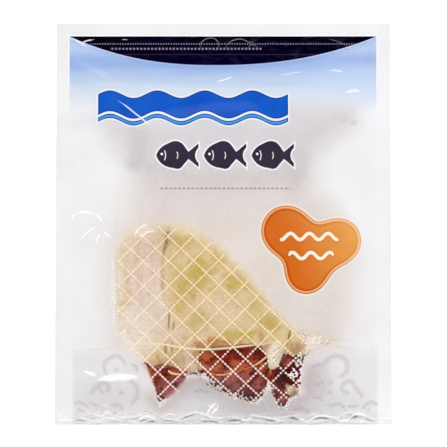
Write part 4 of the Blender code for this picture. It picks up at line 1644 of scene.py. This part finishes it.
def build_floor():
    """A plain white table, bright enough to show no shadow to speak of."""
    bpy.ops.mesh.primitive_plane_add(size=6.0, location=(0, 0, -0.0004))
    floor = bpy.context.object
    floor.name = "floor"
    material, wiring, shader = new_material("white_table")
    colour = wiring.mix(wiring.noise(0.004), (0.86, 0.86, 0.86), (0.9, 0.9, 0.9))
    wiring.feed(shader, {"Base Color": colour, "Roughness": 0.8, "Emission Color": (1, 1, 1),
                         "Emission Strength": 0.55})
    floor.data.materials.append(material)


# Place and size in metres and radiance: MIRRORED lamps are only seen in the film, the others light the part
Lamp = namedtuple("Lamp", "place size radiance mirrored")
LAMPS = {
    "overhead": Lamp((0.0, 0.0, 2.6), (1.6, 1.6), 4.9, False),
    "form": Lamp((-0.3, 1.5, 1.0), (0.8, 0.8), 2.2, False),
    "key": Lamp((-1.45, 1.45, 0.95), (0.6, 0.5), 14.0, True),
    "top_strip": Lamp((0.1, 2.0, 0.95), (1.8, 0.3), 12.0, True),
}


def build_light():
    """A white room that is dark straight overhead, where the lens is, and four soft lamps."""
    world = bpy.data.worlds.new("white_room")
    bpy.context.scene.world = world
    world.use_nodes = True
    wiring = Wiring(world.node_tree)
    direction = Wire(wiring, wiring.node("ShaderNodeTexCoord", {}).outputs["Generated"])
    up = wiring.node("ShaderNodeSeparateXYZ", {"Vector": direction}).outputs["Z"]
    wiring.feed(world.node_tree.nodes["Background"],
                {"Strength": Wire(wiring, up).ease(0.95, 0.70, 0.02, 0.75), "Color": (1, 1, 1)})
    for name, (place, size, radiance, mirrored) in LAMPS.items():
        light = bpy.data.lights.new(name, "AREA")
        light.shape = "RECTANGLE"
        light.size, light.size_y = size
        light.energy = radiance * math.pi * size[0] * size[1]
        lamp = bpy.data.objects.new(name, light)
        lamp.location = place
        lamp.rotation_euler = (-Vector(place)).to_track_quat("-Z", "Y").to_euler()
        lamp.visible_glossy = mirrored
        lamp.visible_diffuse = not mirrored
        bpy.context.scene.collection.objects.link(lamp)


CAMERA_HEIGHT = 2.2
SENSOR = 36.0
FRONT_LEVEL = 8.0


def build_camera():
    """Straight above the pouch, with a long lens that frames the photograph's width at the front."""
    camera = bpy.data.cameras.new("camera")
    camera.sensor_width = SENSOR
    camera.lens = SENSOR * (CAMERA_HEIGHT - FRONT_LEVEL * MM) / (IMAGE_WIDTH * PIXEL * MM)
    camera.clip_end = 50.0
    holder = bpy.data.objects.new("camera", camera)
    middle = face(IMAGE_WIDTH / 2, IMAGE_WIDTH / 2)
    holder.location = (middle[0] * MM, middle[1] * MM, CAMERA_HEIGHT)
    bpy.context.scene.collection.objects.link(holder)
    bpy.context.scene.camera = holder


def main():
    film = build_film()
    build_squid()
    tree = surface_tree([film])
    build_lattice(tree)
    build_scrolls(tree)
    build_film_marks(tree)
    build_floor()
    build_light()
    build_camera()
    bpy.context.scene.view_settings.view_transform = "Standard"


main()
